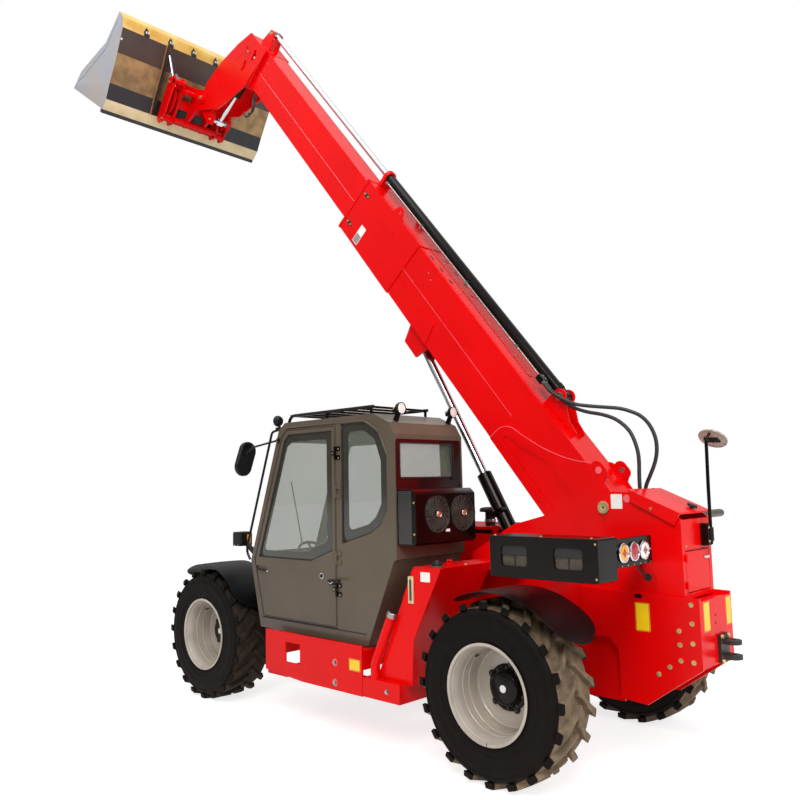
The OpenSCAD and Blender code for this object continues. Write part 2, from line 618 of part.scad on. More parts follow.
module tyre_rl() wheel_at(0, 1) tyre();
module tyre_rr() wheel_at(0, -1) tyre();
module rim_fl() wheel_at(wheelbase, 1) rim();
module rim_fr() wheel_at(wheelbase, -1) rim();
module rim_rl() wheel_at(0, 1) rim();
module rim_rr() wheel_at(0, -1) rim();

// swivel housing, spindle and fender; a0..a1 is the fender's arc
module knuckle(x, s, a0, a1) color(dark) all_x() translate([x, 0, R]) mirror([0, s < 0 ? 1 : 0, 0]) {
  translate([0, king_y, -125]) cylinder(r = 85, h = 250);
  translate([0, king_y, -165]) cylinder(r = 25, h = 340);
  ycyl(0, 0, 75, king_y, half_track - 85);
  ycyl(0, 0, 50, half_track - 90, half_track - 12);
  // fender arm
  fr = R + fender_gap;
  block([-38, king_y - 85, 160], [38, king_y + 30, 184]);
  block([-40, king_y - 93, 165], [40, king_y - 73, fr + 4]);
  rotate([-90, 0, 0]) rotate([0, 0, -a1]) rotate_extrude(angle = a1 - a0, $fn = 96)
    translate([fr, king_y - 95]) square([6, half_track + tyre_w / 2 - 8 - king_y + 95]);
}
module knuckle_fl() knuckle(wheelbase, 1, 50, 155);
module knuckle_fr() knuckle(wheelbase, -1, 50, 155);
module knuckle_rl() knuckle(0, 1, 57, 155);
module knuckle_rr() knuckle(0, -1, 57, 155);

// ---------- hoses ----------
// one skin swept along a route; 10 sides, one ring per route point of the spline
function catmull(p, i, t) = let (a = p[max(i - 1, 0)], b = p[i], c = p[i + 1], d = p[min(i + 2, len(p) - 1)])
  0.5 * ((2 * b) + (c - a) * t + (2 * a - 5 * b + 4 * c - d) * t * t + (3 * b - a - 3 * c + d) * t * t * t);
function route(p, n) = concat([for (i = [0 : len(p) - 2]) for (k = [0 : n - 1]) catmull(p, i, k / n)], [p[len(p) - 1]]);
module hose(p, r) {
  n = 10;
  q = route(p, 4);
  m = len(q);
  pts = [for (i = [0 : m - 1]) let (d = q[min(i + 1, m - 1)] - q[max(i - 1, 0)], t = d / norm(d),
    s = cross(t, [0, 1, 0]), a = s / norm(s), b = cross(t, a)) for (k = [0 : n - 1]) q[i] + r * (a * cos(k * 36) + b * sin(k * 36))];
  polyhedron(pts, concat([[for (k = [n - 1 : -1 : 0]) k]], [[for (k = [0 : n - 1]) (m - 1) * n + k]],
    [for (i = [0 : m - 2]) for (k = [0 : n - 1]) [i * n + k, i * n + (k + 1) % n, (i + 1) * n + (k + 1) % n, (i + 1) * n + k]]));
}
hose_start = from_boom([1080 - gap, ext_v - 9]);
hose_next = from_boom([1050, ext_v - 9]);
hose_a_pts = [[hose_start[0], 125, hose_start[1]], [hose_next[0], 125, hose_next[1]], [72, 125, 2634], [-24, 125, 2572], [-134, 125, 2518], [-226, 100, 2497], [-325, 72, 2482],
  [-446, 40, 2464], [-524, 10, 2438], [-592, -20, 2398], [-643, -45, 2330], [-678, -50, 2240], [-684, -50, 2150], [-666, -50, 2066],
  [-630, -50, 1985], [-597, -50, 1920], [-584, -50, 1882], [-584, -50, 1858 + gap]];
hose_b_pts = [[hose_start[0], 92, hose_start[1]], [hose_next[0], 92, hose_next[1]], [80, 92, 2640], [22, 93, 2586], [-47, 93, 2533], [-108, 84, 2493], [-210, 73, 2454],
  [-320, 62, 2428], [-410, 52, 2394], [-473, 41, 2350], [-527, 32, 2288], [-561, 30, 2212], [-580, 30, 2135], [-584, 30, 2060],
  [-580, 30, 1960], [-580, 30, 1857 + gap]];
module hose_a() color(dark) all_x() hose(hose_a_pts, 14);
module hose_b() color(dark) all_x() hose(hose_b_pts, 14);

main_frame();
boom_tower();
counterweight();
hitch();
side_sill();
hydraulic_tank();
engine_block();
engine_hood();
air_cleaner();
exhaust_stub();
axles();
cab_shell();
cab_glass();
cab_door();
door_glass();
seat();
steering_console();
roof_guard();
condenser_box();
fan_left();
fan_right();
lamps();
mirrors();
side_box();
tail_lights();
rear_lid();
rear_door();
boom_outer();
extend_barrel();
lift_barrel();
lift_rod();
boom_inner();
boom_head();
extend_rod();
tilt_barrel();
tilt_rod();
coupler();
bucket();
hose_a();
hose_b();
knuckle_fl();
knuckle_fr();
knuckle_rl();
knuckle_rr();
rim_fl();
rim_fr();
rim_rl();
rim_rr();
tyre_fl();
tyre_fr();
tyre_rl();
tyre_rr();
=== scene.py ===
"""Looks of a telescopic handler with a raised boom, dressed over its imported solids.

Builders work in millimetres in a local space. place() brings each finished mesh into the frame in metres.
"""
import json
import logging
import math
from dataclasses import dataclass, field
from enum import Enum
from typing import Callable, Iterable, Sequence

import bmesh
import bpy
from mathutils import Matrix, Vector


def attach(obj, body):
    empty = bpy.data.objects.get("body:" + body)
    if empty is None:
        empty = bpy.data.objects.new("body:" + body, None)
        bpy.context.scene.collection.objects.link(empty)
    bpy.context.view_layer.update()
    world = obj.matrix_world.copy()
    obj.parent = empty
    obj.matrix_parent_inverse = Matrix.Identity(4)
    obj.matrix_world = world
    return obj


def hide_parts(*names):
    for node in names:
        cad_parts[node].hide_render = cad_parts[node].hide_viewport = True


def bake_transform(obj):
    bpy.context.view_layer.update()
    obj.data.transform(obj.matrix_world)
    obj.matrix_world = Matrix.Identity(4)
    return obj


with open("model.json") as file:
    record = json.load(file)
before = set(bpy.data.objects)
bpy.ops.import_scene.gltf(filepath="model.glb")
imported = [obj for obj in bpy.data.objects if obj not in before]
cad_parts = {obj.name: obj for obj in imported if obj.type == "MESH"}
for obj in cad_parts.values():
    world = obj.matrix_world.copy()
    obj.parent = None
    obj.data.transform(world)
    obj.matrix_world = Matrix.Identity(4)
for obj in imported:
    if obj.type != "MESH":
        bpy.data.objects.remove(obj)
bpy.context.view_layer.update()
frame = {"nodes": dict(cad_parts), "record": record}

LOG = logging.getLogger("telehandler")

Point2 = tuple[float, float]
Point3 = tuple[float, float, float]

SHIFT = 2666.6848
BOOM_ANGLE = 51.3
PIVOT = (-402.0, 1753.0)
BUCKET_ANGLE = 35.1
PIN_IN_BUCKET = (-470.0, 588.0)
HEAD_PIN = (7295.0, -1031.0)
TILT_BASE = (6820.0, -130.0)
TILT_ANGLE = -29.877
LIFT_PIN = (180.0, 830.0)
LIFT_ANGLE = 61.105
TYRE_R = 587.5
WHEELBASE = 3338.0
HALF_TRACK = 935.0
TOWER_BACK = -957.0
CAB_LEFT = 1000.0


def turned_point(point: Point2, angle: float) -> Point2:
    """Turns a point of the XZ plane by angle degrees, from X towards Z."""
    c, s = math.cos(math.radians(angle)), math.sin(math.radians(angle))
    return point[0] * c - point[1] * s, point[0] * s + point[1] * c


def shifted(x: float, z: float, angle: float) -> Matrix:
    """Gives the matrix of a local XZ frame that starts at x, z and is raised by angle degrees."""
    return Matrix.Translation((x, 0, z)) @ Matrix.Rotation(math.radians(-angle), 4, "Y")


def head_pin_in_machine() -> Point2:
    """Gives the lower head pin in the machine's XZ plane."""
    x, z = turned_point(HEAD_PIN, BOOM_ANGLE)
    return PIVOT[0] + x, PIVOT[1] + z


MACHINE = Matrix.Scale(0.001, 4) @ Matrix.Translation((-SHIFT, 0, 0))
BOOM = MACHINE @ shifted(*PIVOT, BOOM_ANGLE)
LIFT = MACHINE @ shifted(*LIFT_PIN, LIFT_ANGLE)
TILT = BOOM @ shifted(*TILT_BASE, TILT_ANGLE)
BUCKET = MACHINE @ shifted(*head_pin_in_machine(),
                           BUCKET_ANGLE) @ Matrix.Translation((-PIN_IN_BUCKET[0], 0, -PIN_IN_BUCKET[1]))


# ---------- finishes ----------
def linear(hex_colour: str) -> tuple[float, float, float, float]:
    """Turns an sRGB hex colour into Blender's linear colour.

    Args:
        hex_colour: six hex digits.

    Returns:
        Red, green, blue and an alpha of 1.
    """
    parts = [int(hex_colour[i:i + 2], 16) / 255 for i in (0, 2, 4)]
    return tuple(c / 12.92 if c <= 0.04045 else ((c + 0.055) / 1.055) ** 2.4 for c in parts) + (1.0,)


def node(tree: bpy.types.NodeTree, kind: str, values: dict | None = None, links: dict | None = None,
         **settings: object) -> bpy.types.Node:
    """Adds one node with its settings and links.

    Args:
        tree: the tree that takes the node.
        kind: Blender's name of the node type.
        values: socket names or numbers and their constants.
        links: socket names or numbers and the sockets that feed them.
        settings: attributes of the node.

    Returns:
        The new node.
    """
    new = tree.nodes.new(kind)
    for key, value in settings.items():
        setattr(new, key, value)
    for key, value in (values or {}).items():
        new.inputs[key].default_value = value
    for key, source in (links or {}).items():
        tree.links.new(source, new.inputs[key])
    return new


class Grain(Enum):
    """What breaks up a surface at close range."""

    PEEL = "peel"
    CAST = "cast"
    BRUSHED = "brushed"
    WEAVE = "weave"
    MOULDED = "moulded"


@dataclass(frozen=True)
class Finish:
    """One real finish: its colours, its gloss, its grain in millimetres, and the dust that lies on it."""

    name: str
    shade: str
    tint: str
    mottle_mm: float = 500.0
    rough: tuple[float, float] = (0.2, 0.3)
    grain: Grain = Grain.PEEL
    grain_mm: float = 6.0
    bump_mm: float = 0.15
    metallic: float = 0.0
    coat: float = 0.0
    specular: float = 0.5
    dust: str = ""
    dust_top_mm: float = 0.0
    dust_share: float = 0.0
    wear: str = ""
    alpha: float = 1.0
    glow: float = 0.0

    def material(self) -> bpy.types.Material:
        """Builds the material on first use and gives it back afterwards."""
        found = bpy.data.materials.get(self.name)
        if found:
            return found
        made = bpy.data.materials.new(self.name)
        made.use_nodes = True
        tree = made.node_tree
        tree.nodes.clear()
        coord = node(tree, "ShaderNodeTexCoord").outputs["Object"]
        colour = self.colour(tree, coord)
        fine, height = self.relief(tree, coord)
        bump = node(tree, "ShaderNodeBump", {"Strength": 0.6, "Distance": self.bump_mm / 1000},
                    {"Height": height})
        rough = node(tree, "ShaderNodeMapRange", {"To Min": self.rough[0], "To Max": self.rough[1]},
                     {"Value": fine})
        shader = node(tree, "ShaderNodeBsdfPrincipled",
                      {"Metallic": self.metallic, "Coat Weight": self.coat, "Coat Roughness": 0.06,
                       "Alpha": self.alpha,
                       "Specular IOR Level": self.specular, "Emission Strength": self.glow,
                       "Emission Color": linear(self.tint)},
                      {"Base Color": colour, "Roughness": rough.outputs["Result"],
                       "Normal": bump.outputs["Normal"]})
        node(tree, "ShaderNodeOutputMaterial", None, {"Surface": shader.outputs["BSDF"]})
        return made

    def colour(self, tree: bpy.types.NodeTree, coord: bpy.types.NodeSocket) -> bpy.types.NodeSocket:
        """Mixes the two shades in slow patches, then lays wear on edges and dust low down.

        Args:
            tree: the material's tree.
            coord: the object coordinates.

        Returns:
            The colour socket.
        """
        slow = node(tree, "ShaderNodeTexNoise", {"Scale": 1000 / self.mottle_mm, "Detail": 3.0},
                    {"Vector": coord})
        patches = node(tree, "ShaderNodeMapRange", {"From Min": 0.35, "From Max": 0.65},
                       {"Value": slow.outputs["Fac"]})
        mixed = node(tree, "ShaderNodeMix", {"A": linear(self.shade), "B": linear(self.tint)},
                     {"Factor": patches.outputs["Result"]}, data_type="RGBA")
        out = mixed.outputs[2]
        if self.wear:
            edge = node(tree, "ShaderNodeNewGeometry").outputs["Pointiness"]
            share = node(tree, "ShaderNodeMapRange", {"From Min": 0.53, "From Max": 0.6, "To Max": 0.8},
                         {"Value": edge})
            out = node(tree, "ShaderNodeMix", {"B": linear(self.wear)},
                       {"Factor": share.outputs["Result"], "A": out}, data_type="RGBA").outputs[2]
        if self.dust:
            rise = node(tree, "ShaderNodeSeparateXYZ", None, {"Vector": coord}).outputs["Z"]
            low = node(tree, "ShaderNodeMapRange",
                       {"From Max": self.dust_top_mm / 1000, "To Min": self.dust_share, "To Max": 0.0},
                       {"Value": rise})
            veil = node(tree, "ShaderNodeTexNoise", {"Scale": 14.0, "Detail": 6.0, "Roughness": 0.7},
                        {"Vector": coord})
            share = node(tree, "ShaderNodeMath", None, {0: low.outputs["Result"], 1: veil.outputs["Fac"]},
                         operation="MULTIPLY")
            out = node(tree, "ShaderNodeMix", {"B": linear(self.dust)},
                       {"Factor": share.outputs["Value"], "A": out}, data_type="RGBA").outputs[2]
        return out

    def relief(self, tree: bpy.types.NodeTree, coord: bpy.types.NodeSocket) -> tuple:
        """Makes the grain's height, and a finer noise that varies the gloss.

        Args:
            tree: the material's tree.
            coord: the object coordinates.

        Returns:
            The socket that varies the roughness, and the height socket.
        """
        scale = 1000 / self.grain_mm
        gloss = node(tree, "ShaderNodeTexNoise", {"Scale": 9.0, "Detail": 5.0},
                     {"Vector": coord}).outputs["Fac"]
        if self.grain is Grain.WEAVE:
            turned = [node(tree, "ShaderNodeTexWave", {"Scale": scale / 6.0}, {"Vector": coord},
                           bands_direction=axis)
                      for axis in ("X", "Z")]
            height = node(tree, "ShaderNodeMath", None, {0: turned[0].outputs["Fac"],
                                                         1: turned[1].outputs["Fac"]},
                          operation="MULTIPLY").outputs["Value"]
        elif self.grain is Grain.BRUSHED:
            long = node(tree, "ShaderNodeMapping", {"Scale": (1.0, 1.0, 0.04)}, {"Vector": coord})
            height = node(tree, "ShaderNodeTexNoise", {"Scale": scale, "Detail": 2.0},
                          {"Vector": long.outputs["Vector"]}).outputs["Fac"]
        elif self.grain is Grain.MOULDED:
            height = node(tree, "ShaderNodeTexVoronoi", {"Scale": scale},
                          {"Vector": coord}).outputs["Distance"]
        else:
            detail = 6.0 if self.grain is Grain.CAST else 1.0
            height = node(tree, "ShaderNodeTexNoise", {"Scale": scale, "Detail": detail},
                          {"Vector": coord}).outputs["Fac"]
        return gloss, height


# two-pack machine enamel, sprayed: deep red with a faint orange peel and a little road dust low down
RED = Finish("red_enamel", "E60407", "D80305", 900, (0.2, 0.3), Grain.PEEL, 9, 0.1, coat=0.03,
             specular=0.12,
             dust="8A4030", dust_top_mm=900, dust_share=0.06)
# sprayed cab paint: a satin taupe that greys in patches
TAUPE = Finish("taupe_cab_enamel", "5E5345", "544A3D", 700, (0.26, 0.36), Grain.PEEL, 7, 0.1, coat=0.1,
               specular=0.25)
# gloss black enamel on pressed sheet: near-black with a brown cast
BLACK_GLOSS = Finish("gloss_black_enamel", "0A0605", "120B08", 400, (0.12, 0.22), Grain.PEEL, 8, 0.1,
                     coat=0.04, specular=0.14)
# satin black chassis paint over castings: soft sparkle from the cast skin
BLACK_CAST = Finish("satin_black_casting", "151415", "201D1B", 160, (0.38, 0.55), Grain.CAST, 9, 0.5,
                    dust="5E4E3C", dust_top_mm=900, dust_share=0.4)
# injection-moulded ABS: fine spark-eroded grain, dull
ABS = Finish("moulded_black_abs", "121010", "191514", 200, (0.4, 0.5), Grain.MOULDED, 2.5, 0.12,
             specular=0.22)
# rolled polypropylene mudguard: slick and slightly waxy
MUDGUARD = Finish("rolled_black_polypropylene", "060607", "0A0A0C", 300, (0.34, 0.46), Grain.PEEL, 12, 0.2,
                  specular=0.12,
                  dust="3A322A", dust_top_mm=1300, dust_share=0.06)
# vulcanised tyre side: black with a brown bloom
SIDEWALL = Finish("vulcanised_sidewall", "080504", "0D0907", 60, (0.55, 0.75), Grain.CAST, 5, 0.4,
                  specular=0.1,
                  dust="3C2E24", dust_top_mm=1150, dust_share=0.14)
# tread that has run on a dusty yard: the same rubber under dry earth
TREAD = Finish("dusty_tread_rubber", "3E342A", "6B5A45", 70, (0.75, 0.92), Grain.CAST, 8, 0.8, specular=0.2,
               dust="AC967A", dust_top_mm=1250, dust_share=0.85)
# darker copy of the tread for the front tyres: near black, with a little earth low down
TREAD_DARK = Finish("darker_front_tread_rubber", "15110F", "2A231D", 70, (0.7, 0.9), Grain.CAST, 8, 0.8,
                    specular=0.2,
                    dust="4A3D30", dust_top_mm=1250, dust_share=0.5)
# stoved rim lacquer: warm light grey
RIM = Finish("stoved_rim_lacquer", "B9B0A4", "A9A095", 220, (0.26, 0.4), Grain.PEEL, 7, 0.1, coat=0.15,
             dust="7A6C58", dust_top_mm=1000, dust_share=0.25)
# ground and chromed piston rod: mirror with faint lines along it
CHROME = Finish("hard_chrome", "D8D9DC", "C4C5C9", 90, (0.06, 0.14), Grain.BRUSHED, 1.5, 0.02, metallic=1.0)
# yellow-passivated zinc on bolts: pale straw metal
ZINC = Finish("yellow_passivated_zinc", "D9C48A", "B9A372", 12, (0.28, 0.42), Grain.CAST, 3, 0.05,
              metallic=0.85)
# bare machined steel: pins, washers, valve blocks
STEEL = Finish("machined_steel", "A7A6A2", "8C8A86", 25, (0.24, 0.4), Grain.BRUSHED, 2, 0.04, metallic=1.0)
# bucket end plates, which are gloss black: a pale blue-grey that is a painted sky reflection, scuffed to steel on its
# edges; the same grey also marks the boom's label
BUCKET_GREY = Finish("bucket_grey_enamel", "A7ABB6", "B5AAA6", 500, (0.3, 0.45), Grain.CAST, 14, 0.3,
                     wear="8A8580", dust="8A7A66", dust_top_mm=9000, dust_share=0.05)
# natural rubber over braid: hose cover
HOSE = Finish("hose_cover_rubber", "131213", "1C1A18", 60, (0.4, 0.55), Grain.WEAVE, 4, 0.15)
# toughened glass; its pale green-grey veil, part opaque, is a painted reflection of the surroundings
GLASS = Finish("toughened_glass", "8C9184", "80867A", 600, (0.02, 0.05), Grain.PEEL, 60, 0.01, alpha=0.3)
# screen-printed border on the panes: olive-grey ceramic
FRIT = Finish("printed_glass_border", "36342C", "2F2E28", 300, (0.1, 0.18), Grain.PEEL, 20, 0.02, coat=0.3)
# extruded rubber seal: matt black
SEAL = Finish("extruded_seal_rubber", "141313", "1B1A1A", 80, (0.6, 0.75), Grain.CAST, 3, 0.1)
# stitched vinyl seat cover: grey-black with a leather emboss
VINYL = Finish("embossed_seat_vinyl", "3A3834", "45423D", 150, (0.42, 0.55), Grain.MOULDED, 3.5, 0.25)
# cast iron engine block under grey primer
IRON = Finish("grey_cast_iron", "35363A", "2A2A2D", 60, (0.55, 0.7), Grain.CAST, 6, 0.5)
# heat-stained exhaust steel
STUB = Finish("heat_stained_steel", "6A6258", "564E46", 40, (0.4, 0.6), Grain.CAST, 6, 0.2, metallic=0.6)
# moulded lamp lenses: clear, amber, red and smoke-white acrylic
LENS_CLEAR = Finish("clear_acrylic", "F2EFEA", "DCD8D0", 20, (0.05, 0.12), Grain.MOULDED, 6, 0.3, coat=0.5,
                    glow=0.12)
LENS_AMBER = Finish("amber_acrylic", "F2A21A", "E8860F", 20, (0.06, 0.12), Grain.MOULDED, 6, 0.3, coat=0.5,
                    glow=0.1)
LENS_RED = Finish("red_acrylic", "C4152F", "A50F26", 20, (0.06, 0.12), Grain.MOULDED, 6, 0.3, coat=0.5,
                  glow=0.06)
# glossy self-adhesive film: blank yellow and blank white labels
LABEL_YELLOW = Finish("yellow_label_film", "F7C913", "F2C010", 60, (0.3, 0.36), Grain.PEEL, 10, 0.02)
LABEL_WHITE = Finish("white_label_film", "F3F0EC", "E9E5E0", 60, (0.3, 0.36), Grain.PEEL, 10, 0.02)
LABEL_INK = Finish("label_ink", "1A1916", "211F1B", 60, (0.35, 0.4), Grain.PEEL, 10, 0.02)
# anodised fan hub in orange-gold
HUB_GOLD = Finish("gold_fan_hub", "D9812B", "E8A548", 12, (0.25, 0.35), Grain.BRUSHED, 2, 0.04,
                  metallic=0.7)
# bands on the back of the gloss black bucket: painted reflections that run from straw to near black; the blue-black
# also paints the bucket's black gussets, and the cream also paints the tank's gauge frame
BACK_STRAW = Finish("straw_painted_reflection", "EBC672", "DDA94E", 260, (0.3, 0.45), Grain.CAST, 20, 0.3,
                    metallic=0.25)
BACK_TAN = Finish("tan_painted_reflection", "A98A5C", "7E6544", 150, (0.3, 0.5), Grain.CAST, 18, 0.3, metallic=0.25)
BACK_BROWN = Finish("brown_painted_reflection", "3A2D27", "45372E", 260, (0.35, 0.5), Grain.CAST, 18, 0.3)
BACK_NAVY = Finish("blue_black_mill_scale", "17171C", "1E1D21", 260, (0.3, 0.45), Grain.CAST, 18, 0.3)
BACK_CREAM = Finish("pale_ground_steel", "E0CFA6", "CDB98E", 200, (0.3, 0.45), Grain.CAST, 18, 0.25,
                    metallic=0.25)
# black window frame with a dark red cast
WINDOW_MAROON = Finish("maroon_black_enamel", "1E0A0B", "2A0C0E", 200, (0.1, 0.2), Grain.PEEL, 8, 0.1,
                       coat=0.4)
# smoked instrument cover
LENS_DARK = Finish("smoked_acrylic", "0C0D0F", "121316", 40, (0.05, 0.1), Grain.PEEL, 20, 0.02, coat=0.4)
# pale pink on weld beads, edges, discs and washers of the red paint: a painted highlight
PINK_HIGHLIGHT = Finish("pink_painted_highlight", "F06A74", "E85560", 200, (0.16, 0.24), Grain.PEEL, 6, 0.05, coat=0.3)
RUST = Finish("flash_rust", "7A4A2A", "96602F", 40, (0.7, 0.85), Grain.CAST, 8, 0.5)


# ---------- modelling ----------
def clear_selection() -> None:
    """Deselects everything, in object mode."""
    bpy.ops.object.select_all(action="DESELECT")


def activate(*objects: bpy.types.Object) -> bpy.types.Object:
    """Selects only these objects, the first one active."""
    clear_selection()
    for obj in objects:
        obj.select_set(True)
    bpy.context.view_layer.objects.active = objects[0]
    return objects[0]


def in_edit(obj: bpy.types.Object, *steps: Callable[[], object]) -> bpy.types.Object:
    """Runs operators in edit mode with everything selected.

    Args:
        obj: the mesh.
        steps: calls without arguments, in order.

    Returns:
        The same object, back in object mode.
    """
    activate(obj)
    bpy.ops.object.mode_set(mode="EDIT")
    bpy.ops.mesh.select_all(action="SELECT")
    for step in steps:
        step()
    bpy.ops.object.mode_set(mode="OBJECT")
    return obj


def outward(obj: bpy.types.Object, merge: float = 0.01) -> bpy.types.Object:
    """Merges doubled points and turns the faces outwards."""
    return in_edit(obj, lambda: bpy.ops.mesh.remove_doubles(threshold=merge),
                   lambda: bpy.ops.mesh.normals_make_consistent(inside=False))


def modify(obj: bpy.types.Object, kind: str, **settings: object) -> bpy.types.Object:
    """Adds a modifier with its settings and applies it."""
    activate(obj)
    modifier = obj.modifiers.new(kind.title(), kind)
    for key, value in settings.items():
        setattr(modifier, key, value)
    bpy.ops.object.modifier_apply(modifier=modifier.name)
    return obj


def eased(obj: bpy.types.Object, width: float, segments: int = 2, angle: float = 32) -> bpy.types.Object:
    """Rounds the edges sharper than angle degrees."""
    if width > 0:
        modify(obj, "BEVEL", width=width, segments=segments, limit_method="ANGLE",
               angle_limit=math.radians(angle))
    return obj


def painted(obj: bpy.types.Object, finish: Finish) -> bpy.types.Object:
    """Gives the whole object one finish."""
    obj.data.materials.clear()
    obj.data.materials.append(finish.material())
    return obj


def block(low: Point3, high: Point3, finish: Finish, ease: float = 3.0,
          segments: int = 2) -> bpy.types.Object:
    """Makes a box between two corners, with eased edges."""
    size = [b - a for a, b in zip(low, high)]
    clear_selection()
    bpy.ops.mesh.primitive_cube_add(size=1, location=[(a + b) / 2 for a, b in zip(low, high)], scale=size)
    obj = bpy.context.object
    bpy.ops.object.transform_apply()
    return painted(eased(obj, min(ease, min(size) * 0.3), segments), finish)


def rounded(points: Sequence[Point2], radius: float, steps: int = 5) -> list[Point2]:
    """Rounds the corners of an outline.

    Args:
        points: the outline.
        radius: corner radius, cut down where an edge is short.
        steps: pieces of each corner.

    Returns:
        The outline with its corners as short runs of points.
    """
    out = []
    count = len(points)
    for i, point in enumerate(points):
        here, before, after = Vector(point), Vector(points[i - 1]), Vector(points[(i + 1) % count])
        a, b = before - here, after - here
        half = a.angle(b) / 2
        reach = min(radius / max(math.tan(half), 0.05), a.length * 0.45, b.length * 0.45)
        start, end = here + a.normalized() * reach, here + b.normalized() * reach
        for k in range(steps + 1):
            t = k / steps
            out.append(tuple(start * (1 - t) ** 2 + here * 2 * t * (1 - t) + end * t * t))
    return out


def plate(points: Sequence[Point2], start: float, end: float, finish: Finish, ease: float = 2.0,
          axis: str = "Y",
          segments: int = 2) -> bpy.types.Object:
    """Cuts a plate to an outline and gives it its thickness.

    Args:
        points: the outline in the two axes left over, in the order X, Y, Z.
        start: where the plate begins on its axis.
        end: where it ends.
        finish: its finish.
        ease: edge rounding.
        axis: the axis that the plate is square to.
        segments: pieces of the rounding.

    Returns:
        The plate.
    """
    clear_selection()
    bpy.ops.mesh.primitive_circle_add(vertices=len(points), radius=1, fill_type="NGON")
    obj = bpy.context.object
    index = "XYZ".index(axis)
    for vert, (a, b) in zip(obj.data.vertices, points):
        flat = [a, b]
        flat.insert(index, start)
        vert.co = flat
    push = [0.0, 0.0, 0.0]
    push[index] = end - start
    in_edit(obj, lambda: bpy.ops.mesh.extrude_region_move(TRANSFORM_OT_translate={"value": push}),
            lambda: bpy.ops.mesh.select_all(action="SELECT"),
            lambda: bpy.ops.mesh.normals_make_consistent(inside=False))
    return painted(eased(obj, min(ease, abs(end - start) * 0.3), segments), finish)


def aimed(obj: bpy.types.Object, foot: Point3, direction: Sequence[float]) -> bpy.types.Object:
    """Turns a mesh made along Z to a direction and moves its foot."""
    turn = Vector((0, 0, 1)).rotation_difference(Vector(direction)).to_matrix().to_4x4()
    obj.data.transform(Matrix.Translation(foot) @ turn)
    return obj


def lathe(profile: Sequence[Point2], foot: Point3, direction: Sequence[float], finish: Finish,
          steps: int = 40) -> bpy.types.Object:
    """Spins a closed profile of (radius, height) points round an axis.

    Args:
        profile: the closed outline, radius first.
        foot: where height 0 lies.
        direction: the axis.
        finish: the finish.
        steps: pieces of the turn.

    Returns:
        The turned part.
    """
    clear_selection()
    bpy.ops.mesh.primitive_circle_add(vertices=len(profile), radius=1)
    obj = bpy.context.object
    for vert, (r, h) in zip(obj.data.vertices, profile):
        vert.co = (r, 0, h)
    in_edit(obj, lambda: bpy.ops.mesh.spin(steps=steps, angle=math.tau, center=(0, 0, 0), axis=(0, 0, 1)))
    outward(obj)
    return painted(aimed(obj, foot, direction), finish)


def rod(start: Point3, end: Point3, radius: float, finish: Finish, ease: float = 1.5,
        sides: int = 28) -> bpy.types.Object:
    """Makes a round bar between two points, with chamfered ends."""
    length = (Vector(end) - Vector(start)).length
    clear_selection()
    bpy.ops.mesh.primitive_cylinder_add(vertices=sides, radius=radius, depth=length,
                                        location=(0, 0, length / 2))
    obj = bpy.context.object
    bpy.ops.object.transform_apply()
    eased(obj, min(ease, radius * 0.3, length * 0.3), 2, 50)
    return painted(aimed(obj, start, Vector(end) - Vector(start)), finish)


def bent(points: Sequence[Point3], radius: float, steps: int = 6) -> list[Vector]:
    """Rounds the corners of a route in space and keeps its two ends."""
    route = [Vector(points[0])]
    for before, here, after in zip(points, points[1:], points[2:]):
        here = Vector(here)
        a, b = Vector(before) - here, Vector(after) - here
        reach = min(radius, a.length * 0.48, b.length * 0.48)
        start, end = here + a.normalized() * reach, here + b.normalized() * reach
        route += [start.lerp(here, k / steps).lerp(here.lerp(end, k / steps), k / steps)
                  for k in range(steps + 1)]
    return route + [Vector(points[-1])]


def tube(points: Iterable[Sequence[float]], radius: float, finish: Finish, bend: float = 0.0,
         sides: int = 3) -> bpy.types.Object:
    """Draws a round tube along points.

    Args:
        points: the route.
        radius: the tube's radius.
        finish: the finish.
        bend: corner reach, or 0 for a route that is already smooth.
        sides: Blender's bevel resolution.

    Returns:
        The tube as a closed mesh.
    """
    route = bent(list(points), bend) if bend else [Vector(p) for p in points]
    curve = bpy.data.curves.new("route", "CURVE")
    curve.dimensions = "3D"
    curve.bevel_depth, curve.bevel_resolution, curve.use_fill_caps = radius, sides, True
    spline = curve.splines.new("POLY")
    spline.points.add(len(route) - 1)
    for spot, p in zip(spline.points, route):
        spot.co = (*p, 1)
    obj = bpy.data.objects.new("tube", curve)
    bpy.context.collection.objects.link(obj)
    activate(obj)
    bpy.ops.object.convert(target="MESH")
    obj = bpy.context.object
    return painted(outward(obj, 0.001), finish)


def cut(obj: bpy.types.Object, *tools: bpy.types.Object) -> bpy.types.Object:
    """Takes the tools out of a body and removes them."""
    for tool in tools:
        modify(obj, "BOOLEAN", object=tool, operation="DIFFERENCE", solver="EXACT")
        bpy.data.objects.remove(tool)
    return obj


def ring(outer: Sequence[Point2], inner: Sequence[Point2], start: float, end: float, finish: Finish,
         ease: float = 1.5, axis: str = "Y") -> bpy.types.Object:
    """Makes a flat frame: one outline with another taken out of it."""
    body = plate(outer, start, end, finish, 0, axis)
    hole = plate(inner, start - 5, end + 5, finish, 0, axis)
    return eased(cut(body, hole), ease)


def inset_outline(points: Sequence[Point2], by: float) -> list[Point2]:
    """Moves each edge of a convex-cornered outline inwards by a distance and meets them again."""
    area = sum(points[i - 1][0] * p[1] - p[0] * points[i - 1][1] for i, p in enumerate(points))
    side = 1 if area > 0 else -1
    out = []
    for i, p in enumerate(points):
        here, a, b = Vector(p), Vector(points[i - 1]), Vector(points[(i + 1) % len(points)])
        d0, d1 = (here - a).normalized(), (b - here).normalized()
        n0, n1 = Vector((-d0.y, d0.x)) * side, Vector((-d1.y, d1.x)) * side
        middle = (n0 + n1).normalized()
        out.append(tuple(here + middle * (by / max(middle.dot(n0), 0.3))))
    return out


